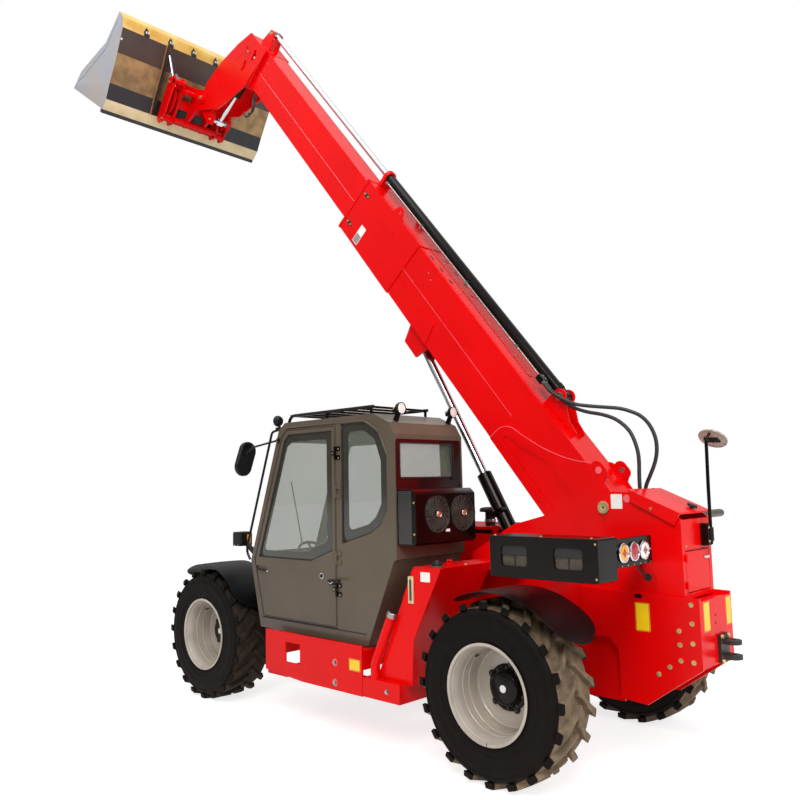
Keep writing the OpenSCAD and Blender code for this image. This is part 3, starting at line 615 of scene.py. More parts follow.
def copied(obj: bpy.types.Object, move: Matrix) -> bpy.types.Object:
    """Copies a part with its own mesh and moves the copy; a mirrored copy is turned right side out."""
    new = obj.copy()
    new.data = obj.data.copy()
    bpy.context.collection.objects.link(new)
    new.data.transform(move)
    if move.determinant() < 0:
        new.data.flip_normals()
    return new


def moved_to(x: float, y: float, z: float) -> Matrix:
    """Gives a translation in millimetres."""
    return Matrix.Translation((x, y, z))


MIRROR_Y = Matrix.Scale(-1, 4, (0, 1, 0))


def joined(parts: Sequence[bpy.types.Object]) -> bpy.types.Object:
    """Joins parts into one mesh that keeps each part's finish."""
    activate(*parts)
    if len(parts) > 1:
        bpy.ops.object.join()
    return bpy.context.view_layer.objects.active


def place(parts: Sequence[bpy.types.Object] | bpy.types.Object, name: str, body: str,
          space: Matrix = MACHINE,
          stands_for: Sequence[str] = (), smooth: float = 32) -> bpy.types.Object:
    """Joins the parts of one piece, brings it into the row frame and hangs it on its body.

    Args:
        parts: the finished parts, in local millimetres.
        name: the piece's name.
        body: the body that it rides on.
        space: the local space.
        stands_for: nodes that the piece replaces.
        smooth: faces that meet at less than this angle are shaded as one.

    Returns:
        The finished piece.
    """
    obj = joined(list(parts) if isinstance(parts, (list, tuple)) else [parts])
    obj.data.transform(space)
    obj.name = obj.data.name = name
    activate(obj)
    bpy.ops.object.shade_smooth_by_angle(angle=math.radians(smooth))
    modify(obj, "WEIGHTED_NORMAL", mode="FACE_AREA", weight=100, keep_sharp=True)
    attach(obj, body)
    if stands_for:
        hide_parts(*stands_for)
    LOG.info("%s on %s: %d faces", name, body, len(obj.data.polygons))
    return obj


def refined(source: str, finish: Finish, ease: float = 3.0, angle: float = 32,
            cuts: Sequence[bpy.types.Object] = ()) -> bpy.types.Object:
    """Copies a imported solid's mesh back to local millimetres, merges its triangles and rounds its edges.

    Args:
        source: the node.
        finish: its finish.
        ease: edge rounding in millimetres.
        angle: only sharper edges are rounded.
        cuts: tools that are taken out of it first.

    Returns:
        A new part in the machine's space, ready for place().
    """
    original = frame["nodes"][source]
    obj = bpy.data.objects.new(source + "_copy", original.data.copy())
    bpy.context.collection.objects.link(obj)
    obj.data.transform(MACHINE.inverted())
    in_edit(obj, lambda: bpy.ops.mesh.customdata_custom_splitnormals_clear(),
            lambda: bpy.ops.mesh.remove_doubles(threshold=0.05),
            lambda: bpy.ops.mesh.dissolve_limited(angle_limit=math.radians(0.8)))
    cut(obj, *cuts)
    obj.data.materials.clear()
    return painted(eased(obj, ease, 2, angle), finish)


BOLT_HEADS: dict[tuple[float, str], bpy.types.Object] = {}


def bolt(at: Point3, direction: Sequence[float], across: float = 30,
         finish: Finish = ZINC) -> bpy.types.Object:
    """Sets a hexagon bolt with its washer; one is modelled for each size and copied.

    Args:
        at: the point on the surface.
        direction: the outward direction.
        across: size across the flats.
        finish: its finish.

    Returns:
        The bolt.
    """
    key = (across, finish.name)
    if key not in BOLT_HEADS:
        washer = rod((0, 0, 0), (0, 0, across * 0.1), across * 0.72, finish, 0.8, 20)
        clear_selection()
        bpy.ops.mesh.primitive_cylinder_add(vertices=6, radius=across * 0.577, depth=across * 0.42,
                                            location=(0, 0, across * 0.31))
        head = bpy.context.object
        bpy.ops.object.transform_apply()
        painted(eased(head, across * 0.06, 2, 40), finish)
        keep = joined([washer, head])
        keep.name = "bolt_pattern_%d_%s" % (across, finish.name)
        bpy.context.collection.objects.unlink(keep)
        BOLT_HEADS[key] = keep
    new = BOLT_HEADS[key].copy()
    new.data = BOLT_HEADS[key].data.copy()
    bpy.context.collection.objects.link(new)
    return aimed(new, at, direction)


def label(low: Point2, high: Point2, at: float, side: int, finish: Finish, axis: str = "Y",
          border: Finish | None = None) -> list[bpy.types.Object]:
    """Sticks a blank label on a flat face.

    Args:
        low: the lowest corner in the face's two axes.
        high: the highest corner.
        at: where the face lies on its axis.
        side: 1 where the face looks along the axis, or -1.
        finish: the film.
        axis: the face's axis.
        border: the finish of a printed edge, if it has one.

    Returns:
        The film, and its border.
    """
    corners = [low, (high[0], low[1]), high, (low[0], high[1])]
    outline = rounded(corners, 6, 3)
    film = plate(outline, at, at + side * 0.8, finish, 0, axis)
    if not border:
        return [film]
    inner = rounded(inset_outline(corners, 5), 4, 3)
    return [film, ring(rounded(inset_outline(corners, 2.5), 5, 3), inner, at + side * 0.5, at + side * 1.2,
                       border, 0, axis)]


# ---------- camera, light and floor ----------
@dataclass
class Studio:
    """The camera at the photographed angle, soft light, and a pale floor."""

    eye: Point3 = (-5.9167, 5.2393, 1.9489)
    yaw: float = -46.08
    pitch: float = 6.098
    roll: float = -1.1745
    lens: float = 35.27

    def camera(self) -> None:
        """Creates the camera and sets it."""
        yaw, pitch, roll = (math.radians(a) for a in (self.yaw, self.pitch, self.roll))
        ahead = Vector((math.cos(yaw) * math.cos(pitch), math.sin(yaw) * math.cos(pitch), math.sin(pitch)))
        flat = Vector((math.sin(yaw), -math.cos(yaw), 0))
        rise = flat.cross(ahead)
        right = flat * math.cos(roll) + rise * math.sin(roll)
        up = rise * math.cos(roll) - flat * math.sin(roll)
        turn = Matrix((right, up, -ahead)).transposed().to_4x4()
        data = bpy.data.cameras.new("view")
        data.lens, data.sensor_width, data.clip_end = self.lens, 36, 200
        seen = bpy.data.objects.new("view", data)
        seen.matrix_world = Matrix.Translation(self.eye) @ turn
        bpy.context.collection.objects.link(seen)
        bpy.context.scene.camera = seen

    def lamp(self, name: str, at: Point3, size: float, power: float, tone: str) -> None:
        """Adds one soft box that looks at the middle of the machine."""
        data = bpy.data.lights.new(name, "AREA")
        data.shape, data.size, data.energy = "SQUARE", size, power
        data.color = linear(tone)[:3]
        obj = bpy.data.objects.new(name, data)
        obj.matrix_world = Matrix.Translation(at) @ (Vector((0.0, 0.0, 2.5))
                                                     - Vector(at)).to_track_quat("-Z", "Y").to_matrix().to_4x4()
        bpy.context.collection.objects.link(obj)

    def sky(self) -> None:
        """Makes an overcast sky: white to the camera, bright above and dim at the horizon in reflections."""
        world = bpy.data.worlds.new("overcast")
        bpy.context.scene.world = world
        world.use_nodes = True
        tree = world.node_tree
        tree.nodes.clear()
        path = node(tree, "ShaderNodeLightPath")
        up = node(tree, "ShaderNodeSeparateXYZ", None,
                  {"Vector": node(tree, "ShaderNodeTexCoord").outputs["Generated"]}).outputs["Z"]
        rise = node(tree, "ShaderNodeMapRange", {"From Min": -0.05, "From Max": 0.6, "To Min": 0.12,
                                                 "To Max": 0.9},
                    {"Value": up}, interpolation_type="SMOOTHSTEP")
        glossy = node(tree, "ShaderNodeBackground", {"Strength": 1.0}, {"Color": rise.outputs["Result"]})
        soft = node(tree, "ShaderNodeBackground", {"Color": linear("F4F6FA"), "Strength": 0.52})
        white = node(tree, "ShaderNodeBackground", {"Color": (1, 1, 1, 1), "Strength": 1.0})
        lit = node(tree, "ShaderNodeMixShader", None,
                   {0: path.outputs["Is Glossy Ray"], 1: soft.outputs[0], 2: glossy.outputs[0]})
        seen = node(tree, "ShaderNodeMath", None,
                    {0: path.outputs["Is Camera Ray"], 1: path.outputs["Is Transmission Ray"]},
                    operation="MAXIMUM")
        whole = node(tree, "ShaderNodeMixShader", None, {0: seen.outputs[0], 1: lit.outputs[0],
                                                         2: white.outputs[0]})
        node(tree, "ShaderNodeOutputWorld", None, {"Surface": whole.outputs[0]})

    def floor(self) -> None:
        """Lays a pale floor that is white to the camera and keeps the shadow."""
        clear_selection()
        bpy.ops.mesh.primitive_plane_add(size=120, location=(0, 0, -0.001))
        obj = bpy.context.object
        obj.name = "studio_floor"
        made = bpy.data.materials.new("pale_floor")
        made.use_nodes = True
        tree = made.node_tree
        tree.nodes.clear()
        path = node(tree, "ShaderNodeLightPath")
        seen = node(tree, "ShaderNodeMath", None,
                    {0: path.outputs["Is Camera Ray"], 1: path.outputs["Is Glossy Ray"]},
                    operation="MAXIMUM")
        both = node(tree, "ShaderNodeMath", None, {0: seen.outputs[0],
                                                   1: path.outputs["Is Transmission Ray"]},
                    operation="MAXIMUM")
        matt = node(tree, "ShaderNodeBsdfDiffuse", {"Color": linear("E4E3E0")})
        shadowed = node(tree, "ShaderNodeBsdfDiffuse", {"Color": linear("BDBBB8")})
        glow = node(tree, "ShaderNodeEmission", {"Color": (1, 1, 1, 1), "Strength": 0.76})
        bright = node(tree, "ShaderNodeAddShader", None, {0: shadowed.outputs[0], 1: glow.outputs[0]})
        mix = node(tree, "ShaderNodeMixShader", None, {0: both.outputs[0], 1: matt.outputs[0],
                                                       2: bright.outputs[0]})
        node(tree, "ShaderNodeOutputMaterial", None, {"Surface": mix.outputs[0]})
        obj.data.materials.append(made)

    def build(self) -> None:
        """Sets the view, the lamps, the sky and the floor."""
        bpy.context.scene.view_settings.view_transform = "Standard"
        self.camera()
        self.lamp("key_box", (-7.5, 8.0, 9.5), 6.0, 1080, "FFFDF8")
        self.lamp("fill_box", (-10.0, -1.0, 5.0), 5.0, 260, "F3F7FF")
        self.lamp("top_box", (1.0, 3.0, 13.0), 7.0, 500, "FFFFFF")
        self.sky()
        self.floor()


# ---------- hoses ----------
@dataclass
class Hoses:
    """The two hoses that loop from the tower to the extension cylinder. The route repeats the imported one."""

    radius: float = 14.0
    port: Point2 = (1079.7, 181.0)
    strip: float = 1857.3

    def routes(self) -> dict[str, list[Point3]]:
        """Gives each hose's guide points in the machine's space."""
        x, z = turned_point(self.port, BOOM_ANGLE)
        x, z = PIVOT[0] + x, PIVOT[1] + z
        nx, nz = turned_point((1050.0, self.port[1]), BOOM_ANGLE)
        nx, nz = PIVOT[0] + nx, PIVOT[1] + nz
        long = [(x, 125, z), (nx, 125, nz), (72, 125, 2634), (-24, 125, 2572), (-134, 125, 2518),
                (-226, 100, 2497), (-325, 72, 2482),
                (-446, 40, 2464), (-524, 10, 2438), (-592, -20, 2398), (-643, -45, 2330), (-678, -50, 2240),
                (-684, -50, 2150), (-666, -50, 2066), (-630, -50, 1985), (-597, -50, 1920),
                (-584, -50, 1882), (-584, -50, self.strip + 1)]
        short = [(x, 92, z), (nx, 92, nz), (80, 92, 2640), (22, 93, 2586), (-47, 93, 2533),
                 (-108, 84, 2493), (-210, 73, 2454),
                 (-320, 62, 2428), (-410, 52, 2394), (-473, 41, 2350), (-527, 32, 2288), (-561, 30, 2212),
                 (-580, 30, 2135), (-584, 30, 2060), (-580, 30, 1960), (-580, 30, self.strip)]
        return {"hose_a": long, "hose_b": short}

    def spline(self, points: Sequence[Point3], steps: int = 4) -> list[Vector]:
        """Runs a smooth curve through the guide points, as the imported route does."""
        p = [Vector(q) for q in points]
        out = []
        for i in range(len(p) - 1):
            a, b, c, d = p[max(i - 1, 0)], p[i], p[i + 1], p[min(i + 2, len(p) - 1)]
            for k in range(steps):
                t = k / steps
                out.append(0.5 * (2 * b + (c - a) * t + (2 * a - 5 * b + 4 * c - d) * t * t
                                  + (3 * b - a - 3 * c + d) * t ** 3))
        return out + [p[-1]]

    def build(self) -> None:
        for name, guide in self.routes().items():
            route = self.spline(guide)
            piece = tube(route, self.radius, HOSE, 0, 3)
            piece.data.transform(MACHINE)
            piece.name = piece.data.name = name + "_cover"
            activate(piece)
            bpy.ops.object.shade_smooth_by_angle(angle=math.radians(60))
            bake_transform(piece)
            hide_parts(name)


def repaint(obj: bpy.types.Object, finish: Finish, test: Callable[[Vector], bool]) -> bpy.types.Object:
    """Gives the faces whose centre passes a test another finish."""
    obj.data.materials.append(finish.material())
    index = len(obj.data.materials) - 1
    for face in obj.data.polygons:
        if test(face.center):
            face.material_index = index
    return obj


def mirrored(parts: Sequence[bpy.types.Object]) -> list[bpy.types.Object]:
    """Gives the parts and their copies on the other side of the machine."""
    return [*parts, *(copied(p, MIRROR_Y) for p in parts)]


# ---------- wheels ----------
@dataclass
class Wheels:
    """Four wheels: lugged tyre, deep-barrelled rim with a lobed hub, swivel housing and rolled mudguard."""

    lugs: int = 20
    fender_front: tuple[Point2, ...] = ((50, 645), (80, 645.6), (110, 645.6), (135, 645), (155, 645))
    fender_rear: tuple[Point2, ...] = ((57, 645.5), (80, 645.5), (95, 653), (110, 667), (125, 686),
                                       (137, 703), (150, 722))

    def corners(self) -> dict[str, Matrix]:
        """Gives the place of each wheel centre; the right side is mirrored."""
        left = {"fl": moved_to(WHEELBASE, HALF_TRACK, TYRE_R), "rl": moved_to(0, HALF_TRACK, TYRE_R)}
        right = {"fr": moved_to(WHEELBASE, -HALF_TRACK, TYRE_R) @ MIRROR_Y,
                 "rr": moved_to(0, -HALF_TRACK, TYRE_R) @ MIRROR_Y}
        return {**left, **right}

    def lug(self) -> bpy.types.Object:
        """Models one tread bar flat, then wraps it round the tread."""
        clear_selection()
        bpy.ops.mesh.primitive_grid_add(x_subdivisions=9, y_subdivisions=1)
        obj = bpy.context.object

        def middle(width: float) -> float:
            """Gives how far ahead the bar's middle lies at a distance from the centre plane."""
            return 158 * (1 - min(max(width / 196, 0), 1)) ** 1.3

        for i, vert in enumerate(obj.data.vertices):
            share, half = (i % 10) / 9, -1 if i < 10 else 1
            width = -12 + share * 209
            vert.co = (middle(width) + half * (20 + 13 * share), width, 0)
        in_edit(obj, lambda: bpy.ops.mesh.extrude_region_move(TRANSFORM_OT_translate={"value": (0, 0, 46)}),
                lambda: bpy.ops.mesh.select_all(action="SELECT"),
                lambda: bpy.ops.mesh.normals_make_consistent(inside=False))
        for vert in obj.data.vertices:
            x, width, height = vert.co
            if height > 1:
                centre = middle(width)
                vert.co = (centre + (x - centre) * 0.86, min(width, 188), height - 5 * (width / 196) ** 2)
        eased(obj, 3.5, 2, 30)
        for vert in obj.data.vertices:
            x, width, height = vert.co
            radius, angle = 541.3 + height, x / 575
            vert.co = (radius * math.sin(angle), width, radius * math.cos(angle))
        return repaint(painted(obj, TREAD), SIDEWALL, lambda c: c.y > 176)

    def tyre(self) -> list[bpy.types.Object]:
        """Spins the carcass with its sidewall rings and sets the bars round it."""
        half = [(552, 0), (551, 70), (547, 150), (541, 176), (528, 190), (520, 193), (514, 197.5),
                (507, 197.5), (502, 194.5),
                (470, 199), (462, 199.9), (455, 199), (430, 198), (404, 195), (398, 197.4), (391, 197.4),
                (386, 193),
                (362, 190), (356, 192), (349, 191), (343, 187), (329, 184), (311.6, 176.6), (301, 142)]
        profile = half + [(r, -h) for r, h in reversed(half[1:])]
        carcass = repaint(lathe(profile, (0, 0, 0), (0, 1, 0), SIDEWALL, 72), TREAD,
                          lambda c: math.hypot(c.x, c.z) > 540 and abs(c.y) < 165)
        bar = self.lug()
        bars = []
        for i in range(self.lugs):
            for side, turn in ((1, 0.0), (-1, 0.5)):
                angle = math.tau * (i + turn) / self.lugs
                flip = MIRROR_Y if side < 0 else Matrix()
                bars.append(copied(bar, Matrix.Rotation(angle, 4, "Y") @ flip))
        bpy.data.objects.remove(bar)
        return [carcass, *bars]

    def rim(self) -> list[bpy.types.Object]:
        """Spins the rim with its bead steps and barrel rings, then adds disc, hub, nuts and paint marks."""
        outer = [(323.4, 190), (323.4, 195.5), (320, 197.6), (312, 197.6), (305, 195), (301, 188),
                 (300, 176), (294, 169),
                 (292, 156), (286.5, 147), (284, 132), (281.6, 120), (281.6, 84), (278.6, 81), (278.6, 73),
                 (281.6, 70),
                 (281.6, 18), (278.9, 15), (278.9, 7), (281.6, 4), (281.6, -155), (298, -197.6),
                 (323.4, -197.6),
                 (323.4, -190), (311.2, -176), (300.6, -142), (300.6, 142), (311.2, 176)]
        disc = [(0, -75), (283, -75), (283, -60), (268, -58.5), (262, -54), (256, -54), (250, -60),
                (0, -60)]
        hub = [(0, -62), (152, -62), (152, -50), (148, -46), (128, -43), (121, -36), (114, -16), (104, -4),
               (92, 1), (40, 5),
               (34, 8), (0, 8)]
        along = (0, 1, 0)
        parts = [lathe(outer, (0, 0, 0), along, RIM, 72), lathe(disc, (0, 0, 0), along, RIM, 64),
                 lathe(hub, (0, 0, 0), along, BLACK_GLOSS, 48),
                 rod((0, 6, 0), (0, 8.8, 0), 25, LABEL_WHITE, 1, 28)]
        for i in range(5):
            turn = math.tau * i / 5 + 0.5
            spot = (150 * math.cos(turn), 150 * math.sin(turn))
            parts.append(rod((spot[0], -62, spot[1]), (spot[0], -47, spot[1]), 24, BLACK_GLOSS, 3, 24))
            parts.append(bolt((spot[0], -47, spot[1]), along, 19, BLACK_CAST))
        for i in range(10):
            turn = math.tau * (i + 0.5) / 10
            parts.append(bolt((128 * math.cos(turn), -44, 128 * math.sin(turn)), along, 17, BLACK_CAST))
        # assembly marks and the valve
        parts.append(block((-2.5, 196.9, -322), (2.5, 198, -300), LABEL_INK, 0.2))
        parts.append(block((-280.9, 10, -2.5), (-279.2, 78, 2.5), LABEL_INK, 0.2))
        parts.append(rod((200, 0, 192), (196, 42, 188), 5, BLACK_CAST, 1, 14))
        return parts

    def fender(self, shape: Sequence[Point2]) -> bpy.types.Object:
        """Rolls the mudguard: a sheet with tongue-shaped ends, thickened and with rounded edges.

        Args:
            shape: angle and radius of the sheet along its arc.

        Returns:
            The mudguard about the wheel's centre, its inner edge towards the machine.
        """
        columns, rows = 30, 10
        clear_selection()
        bpy.ops.mesh.primitive_grid_add(x_subdivisions=columns, y_subdivisions=rows)
        obj = bpy.context.object
        inner, outer = -269.0, 191.0
        for i, vert in enumerate(obj.data.vertices):
            share, across = (i % (columns + 1)) / columns, (i // (columns + 1)) / rows * 2 - 1
            angle = shape[0][0] + share * (shape[-1][0] - shape[0][0])
            radius = shape[-1][1]
            for (a0, r0), (a1, r1) in zip(shape, shape[1:]):
                if a0 <= angle <= a1:
                    radius = r0 + (r1 - r0) * (angle - a0) / (a1 - a0)
            near = min(share, 1 - share) / 0.16
            width = math.sqrt(max(1 - (1 - min(near, 1)) ** 2, 0.05))
            crown = 5 * across * across
            y = (inner + outer) / 2 + across * (outer - inner) / 2 * width
            turn = math.radians(angle)
            vert.co = ((radius - crown) * math.cos(turn), y, (radius - crown) * math.sin(turn))
        modify(obj, "SOLIDIFY", thickness=4.0, offset=0.0)
        return painted(outward(eased(obj, 1.2, 1, 60)), MUDGUARD)

    def swivel(self, shape: Sequence[Point2]) -> list[bpy.types.Object]:
        """Models the swivel housing, the spindle, the mudguard with its tube arm and clamp."""
        king, top = -175.0, 645.0
        housing = lathe([(0, -125), (62, -125), (66, -112), (84, -104), (84, -60), (74, -50), (74, 50),
                         (84, 60), (84, 104),
                         (66, 112), (62, 125), (0, 125)], (0, king, 0), (0, 0, 1), BLACK_CAST, 36)
        parts = [housing, rod((0, king, -165), (0, king, 175), 24.8, STEEL, 3),
                 rod((0, king, 0), (0, -85, 0), 75, BLACK_CAST, 4, 36),
                 rod((0, -90, 0), (0, -12, 0), 49.8, BLACK_CAST, 2, 32),
                 block((-37, king - 85, 160), (37, king + 28, 184), BLACK_GLOSS, 3),
                 plate(rounded([(-39, 162), (39, 162), (24, top - 20), (-24, top - 20)], 10, 3), king - 92,
                       king - 76,
                       BLACK_GLOSS, 2),
                 tube([(0, king - 84, 560), (0, king - 84, 622), (0, king + 30, 634), (0, 90, 634)], 13,
                      BLACK_GLOSS, 40),
                 self.fender(shape)]
        for angle in (-14, 14):
            parts.append(bolt((math.tan(math.radians(angle)) * 60, king - 92, 590), (0, -1, 0), 17, ZINC))
        for y in (-150, 60):
            parts.append(block((-16, y, 626), (16, y + 26, 643), BLACK_GLOSS, 2))
        return parts

    def build(self) -> None:
        """Makes one tyre and one rim, sets copies at the corners, and adds the swivels."""
        tyre, rim = joined(self.tyre()), joined(self.rim())
        swivels = {"f": joined(self.swivel(self.fender_front)), "r": joined(self.swivel(self.fender_rear))}
        for corner, at in self.corners().items():
            piece = copied(tyre, at)
            if corner[0] == "f":
                spot = piece.data.materials.find(TREAD.name)
                piece.data.materials[spot] = TREAD_DARK.material()
            place(piece, "tyre_lugged_" + corner, "wheel_" + corner,
                  stands_for=["tyre_" + corner])
            place(copied(rim, at), "rim_dished_" + corner, "wheel_" + corner,
                  stands_for=["rim_" + corner])
            place(copied(swivels[corner[0]], at), "mudguard_" + corner, "swivel_" + corner,
                  stands_for=["knuckle_" + corner])
        for pattern in (tyre, rim, *swivels.values()):
            bpy.data.objects.remove(pattern)


# ---------- cab ----------
CAB_SIDE: list[Point2] = [(1225, 719), (2600, 719), (2745, 1290), (2330, 2440), (2240, 2500), (1130, 2500),
                          (960, 2420),
                          (900, 2320), (900, 1385), (930, 1370)]
DOOR: list[Point2] = [(1577, 815), (2555, 815), (2690, 1300), (2290, 2380), (2215, 2440), (1577, 2440)]
DOOR_PANE: list[Point2] = [(1625, 1420), (1900, 1325), (2630, 1325), (2255, 2345), (2195, 2395),
                           (1625, 2395)]
DOOR_CLEAR: list[Point2] = [(1700, 1485), (2000, 1388), (2560, 1388), (2290, 2120), (2225, 2290),
                            (2150, 2330), (1700, 2330)]
QUARTER: list[Point2] = [(1510, 2440), (1230, 2440), (1080, 2350), (990, 2160), (990, 1760), (1060, 1640),
                         (1180, 1570),
                         (1510, 1480)]
QUARTER_CLEAR: list[Point2] = [(1435, 2375), (1250, 2375), (1130, 2300), (1065, 2130), (1065, 1800),
                               (1125, 1700), (1210, 1640),
                               (1435, 1585)]


@dataclass
class Cab:
    """The taupe cab with printed panes, seals, hinges, handle and latch."""

    left: float = CAB_LEFT
    right: float = 206.0

    def pane(self, outline: Sequence[Point2], clear: Sequence[Point2], y: float, radius: float,
             clear_radius: float) -> list[bpy.types.Object]:
        """Makes a pane with a printed border on its face and a rubber seal round it."""
        edge = rounded(inset_outline(outline, 3), radius, 6)
        glass = plate(edge, y - 6, y, GLASS, 0.8)
        border = ring(edge, rounded(clear, clear_radius, 6), y - 0.2, y + 0.8, FRIT, 0)
        seal = ring(rounded(outline, radius, 6), rounded(inset_outline(outline, 11), radius - 6, 6), y - 12,
                    y + 7, SEAL, 2)
        return [glass, border, seal]

    def shell(self) -> None:
        """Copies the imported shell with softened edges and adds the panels, gutters and hinges."""
        body = refined("cab_shell", TAUPE, 7, 28)
        parts = [body]
        # brow over the rear window, corner post and roof gutter
        parts.append(plate(rounded([(215, 2292), (992, 2292), (975, 2330), (235, 2330)], 10, 3), 897, 901,
                           TAUPE, 1.2, "X"))
        parts.append(tube([(1525, 1003, 2452), (1228, 1003, 2452), (1066, 1003, 2356), (976, 1003, 2165)],
                          5, TAUPE, 60))
        parts.append(tube([(2215, 1002, 2455), (1540, 1002, 2455)], 5, TAUPE))
        # lower seam, and the hinge halves on the shell
        parts.append(tube([(2570, 1001, 806), (1240, 1001, 806)], 3.2, SEAL))
        for z in (1100, 2190):
            for h in (-35, 35.3):
                parts.append(rod((1571, 1011, z + h), (1571, 1011, z + h + 34.7), 10, BLACK_GLOSS, 2, 24))
                parts.append(block((1518, 1000, z + h - 2), (1571, 1007, z + h + 36), BLACK_GLOSS, 2))
            for h in (-22, 50):
                parts.append(bolt((1533, 1007, z + h), (0, 1, 0), 9, ZINC))
        # rear window frame, black with a dark red cast
        frame_outer = rounded([(232, 1896), (992, 1896), (992, 2290), (232, 2290)], 22, 4)
        frame_inner = rounded([(330, 2000), (945, 2000), (945, 2255), (330, 2255)], 14, 4)
        parts.append(ring(frame_outer, frame_inner, 896, 903, WINDOW_MAROON, 1.5, "X"))
        parts.append(ring(inset_outline(frame_inner, -9), inset_outline(frame_inner, -1), 891, 898, SEAL, 2,
                          "X"))
        # wiper on the rear pane
        parts += [rod((884, 350, 1985), (896, 350, 1985), 14, ABS, 2),
                  rod((888, 350, 1985), (888, 372, 2180), 4, ABS, 1, 12),
                  rod((885, 362, 2040), (885, 384, 2240), 5, SEAL, 1, 12)]
        place(parts, "cab_body", "chassis", stands_for=["cab_shell"])

    def panes(self) -> None:
        """Makes the fixed panes: quarter, right side, rear and windscreen."""
        parts = self.pane(QUARTER, QUARTER_CLEAR, self.left - 14, 66, 50)
        side = [(1050, 1450), (2620, 1450), (2290, 2370), (1080, 2370)]
        right = self.pane(side, [(1110, 1515), (2520, 1515), (2245, 2310), (1135, 2310)], 0, 60, 50)
        turn = moved_to(0, self.right + 14, 0) @ MIRROR_Y
        parts += [copied(p, turn) for p in right]
        for p in right:
            bpy.data.objects.remove(p)
        parts.append(plate(rounded([(299, 1906), (937, 1906), (937, 2267), (299, 2267)], 14, 3), 915, 921,
                           GLASS, 0.8, "X"))
        lean = math.degrees(math.atan2(2359 - 1330, 2338 - 2705))
        front = plate(rounded([(259, 0), (947, 0), (947, 1088), (259, 1088)], 40, 5), 0, 6, GLASS, 0.8, "X")
        seal = ring(rounded([(258, 0), (948, 0), (948, 1090), (258, 1090)], 42, 5),
                    rounded([(284, 26), (922, 26), (922, 1064), (284, 1064)], 34, 5), -3, 8, SEAL, 2, "X")
        for part in (front, seal):
            part.data.transform(moved_to(2705, 0, 1332) @ Matrix.Rotation(math.radians(90 - lean), 4, "Y"))
            parts.append(part)
        # wiper arm in front
        parts.append(rod((2632, 500, 1405), (2640, 620, 1990), 5, ABS, 1, 12))
        place(parts, "cab_panes", "chassis", stands_for=["cab_glass"])

    def door(self) -> None:
        """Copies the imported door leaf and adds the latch, the catch, the handle and the hinges."""
        leaf = refined("cab_door", TAUPE, 5, 28)
        parts = [leaf, *(tube([(p[0], self.left + 0.5, p[1]) for p in (*outline, outline[0])], 2.6, finish,
                              0)
                         for outline, finish in ((rounded(inset_outline(DOOR, 9), 24, 4), SEAL),))]
        for z in (1100, 2190):
            parts.append(rod((1571, 1011, z), (1571, 1011, z + 35), 10, BLACK_GLOSS, 2, 24))
            parts.append(block((1571, 1000, z), (1618, 1007, z + 35), BLACK_GLOSS, 2))
            parts.append(bolt((1602, 1007, z + 17), (0, 1, 0), 9, ZINC))
        # pull handle at the front edge with its bright tip
        parts.append(tube([(2640, 1003, 1245), (2628, 1024, 1225), (2530, 1024, 1215), (2515, 1003, 1212)],
                          8, ABS, 12))
        parts.append(rod((2500, 1006, 1208), (2478, 1006, 1205), 8, CHROME, 1.5, 20))
        # round catch with a bright ring
        parts.append(rod((1760, 1000, 1213), (1760, 1006, 1213), 24, CHROME, 2, 32))
        parts.append(rod((1760, 1003, 1213), (1760, 1009, 1213), 18, ABS, 2, 32))
        # latch lever across the pillar
        parts.append(tube([(1630, 1008, 1172), (1630, 1046, 1186), (1600, 1052, 1190), (1500, 1052, 1196)],
                          11, ABS, 26))
        parts.append(ball((1496, 1052, 1196), 17, ABS))
        # latch bar with its knob
        parts.append(block((1590, 1000, 1150), (1668, 1011, 1190), ABS, 4))
        parts.append(rod((1630, 1008, 1170), (1630, 1021, 1170), 12, CHROME, 1.5, 24))
        parts.append(rod((1600, 1018, 1176), (1655, 1018, 1168), 6, CHROME, 1.5, 16))
        place(parts, "cab_door_leaf", "door", stands_for=["cab_door"])
        place(self.pane(DOOR_PANE, DOOR_CLEAR, self.left - 14, 52, 34), "cab_door_pane", "door",
              stands_for=["door_glass"])

    def build(self) -> None:
        """Builds shell, panes and door."""
        self.shell()
        self.panes()
        self.door()


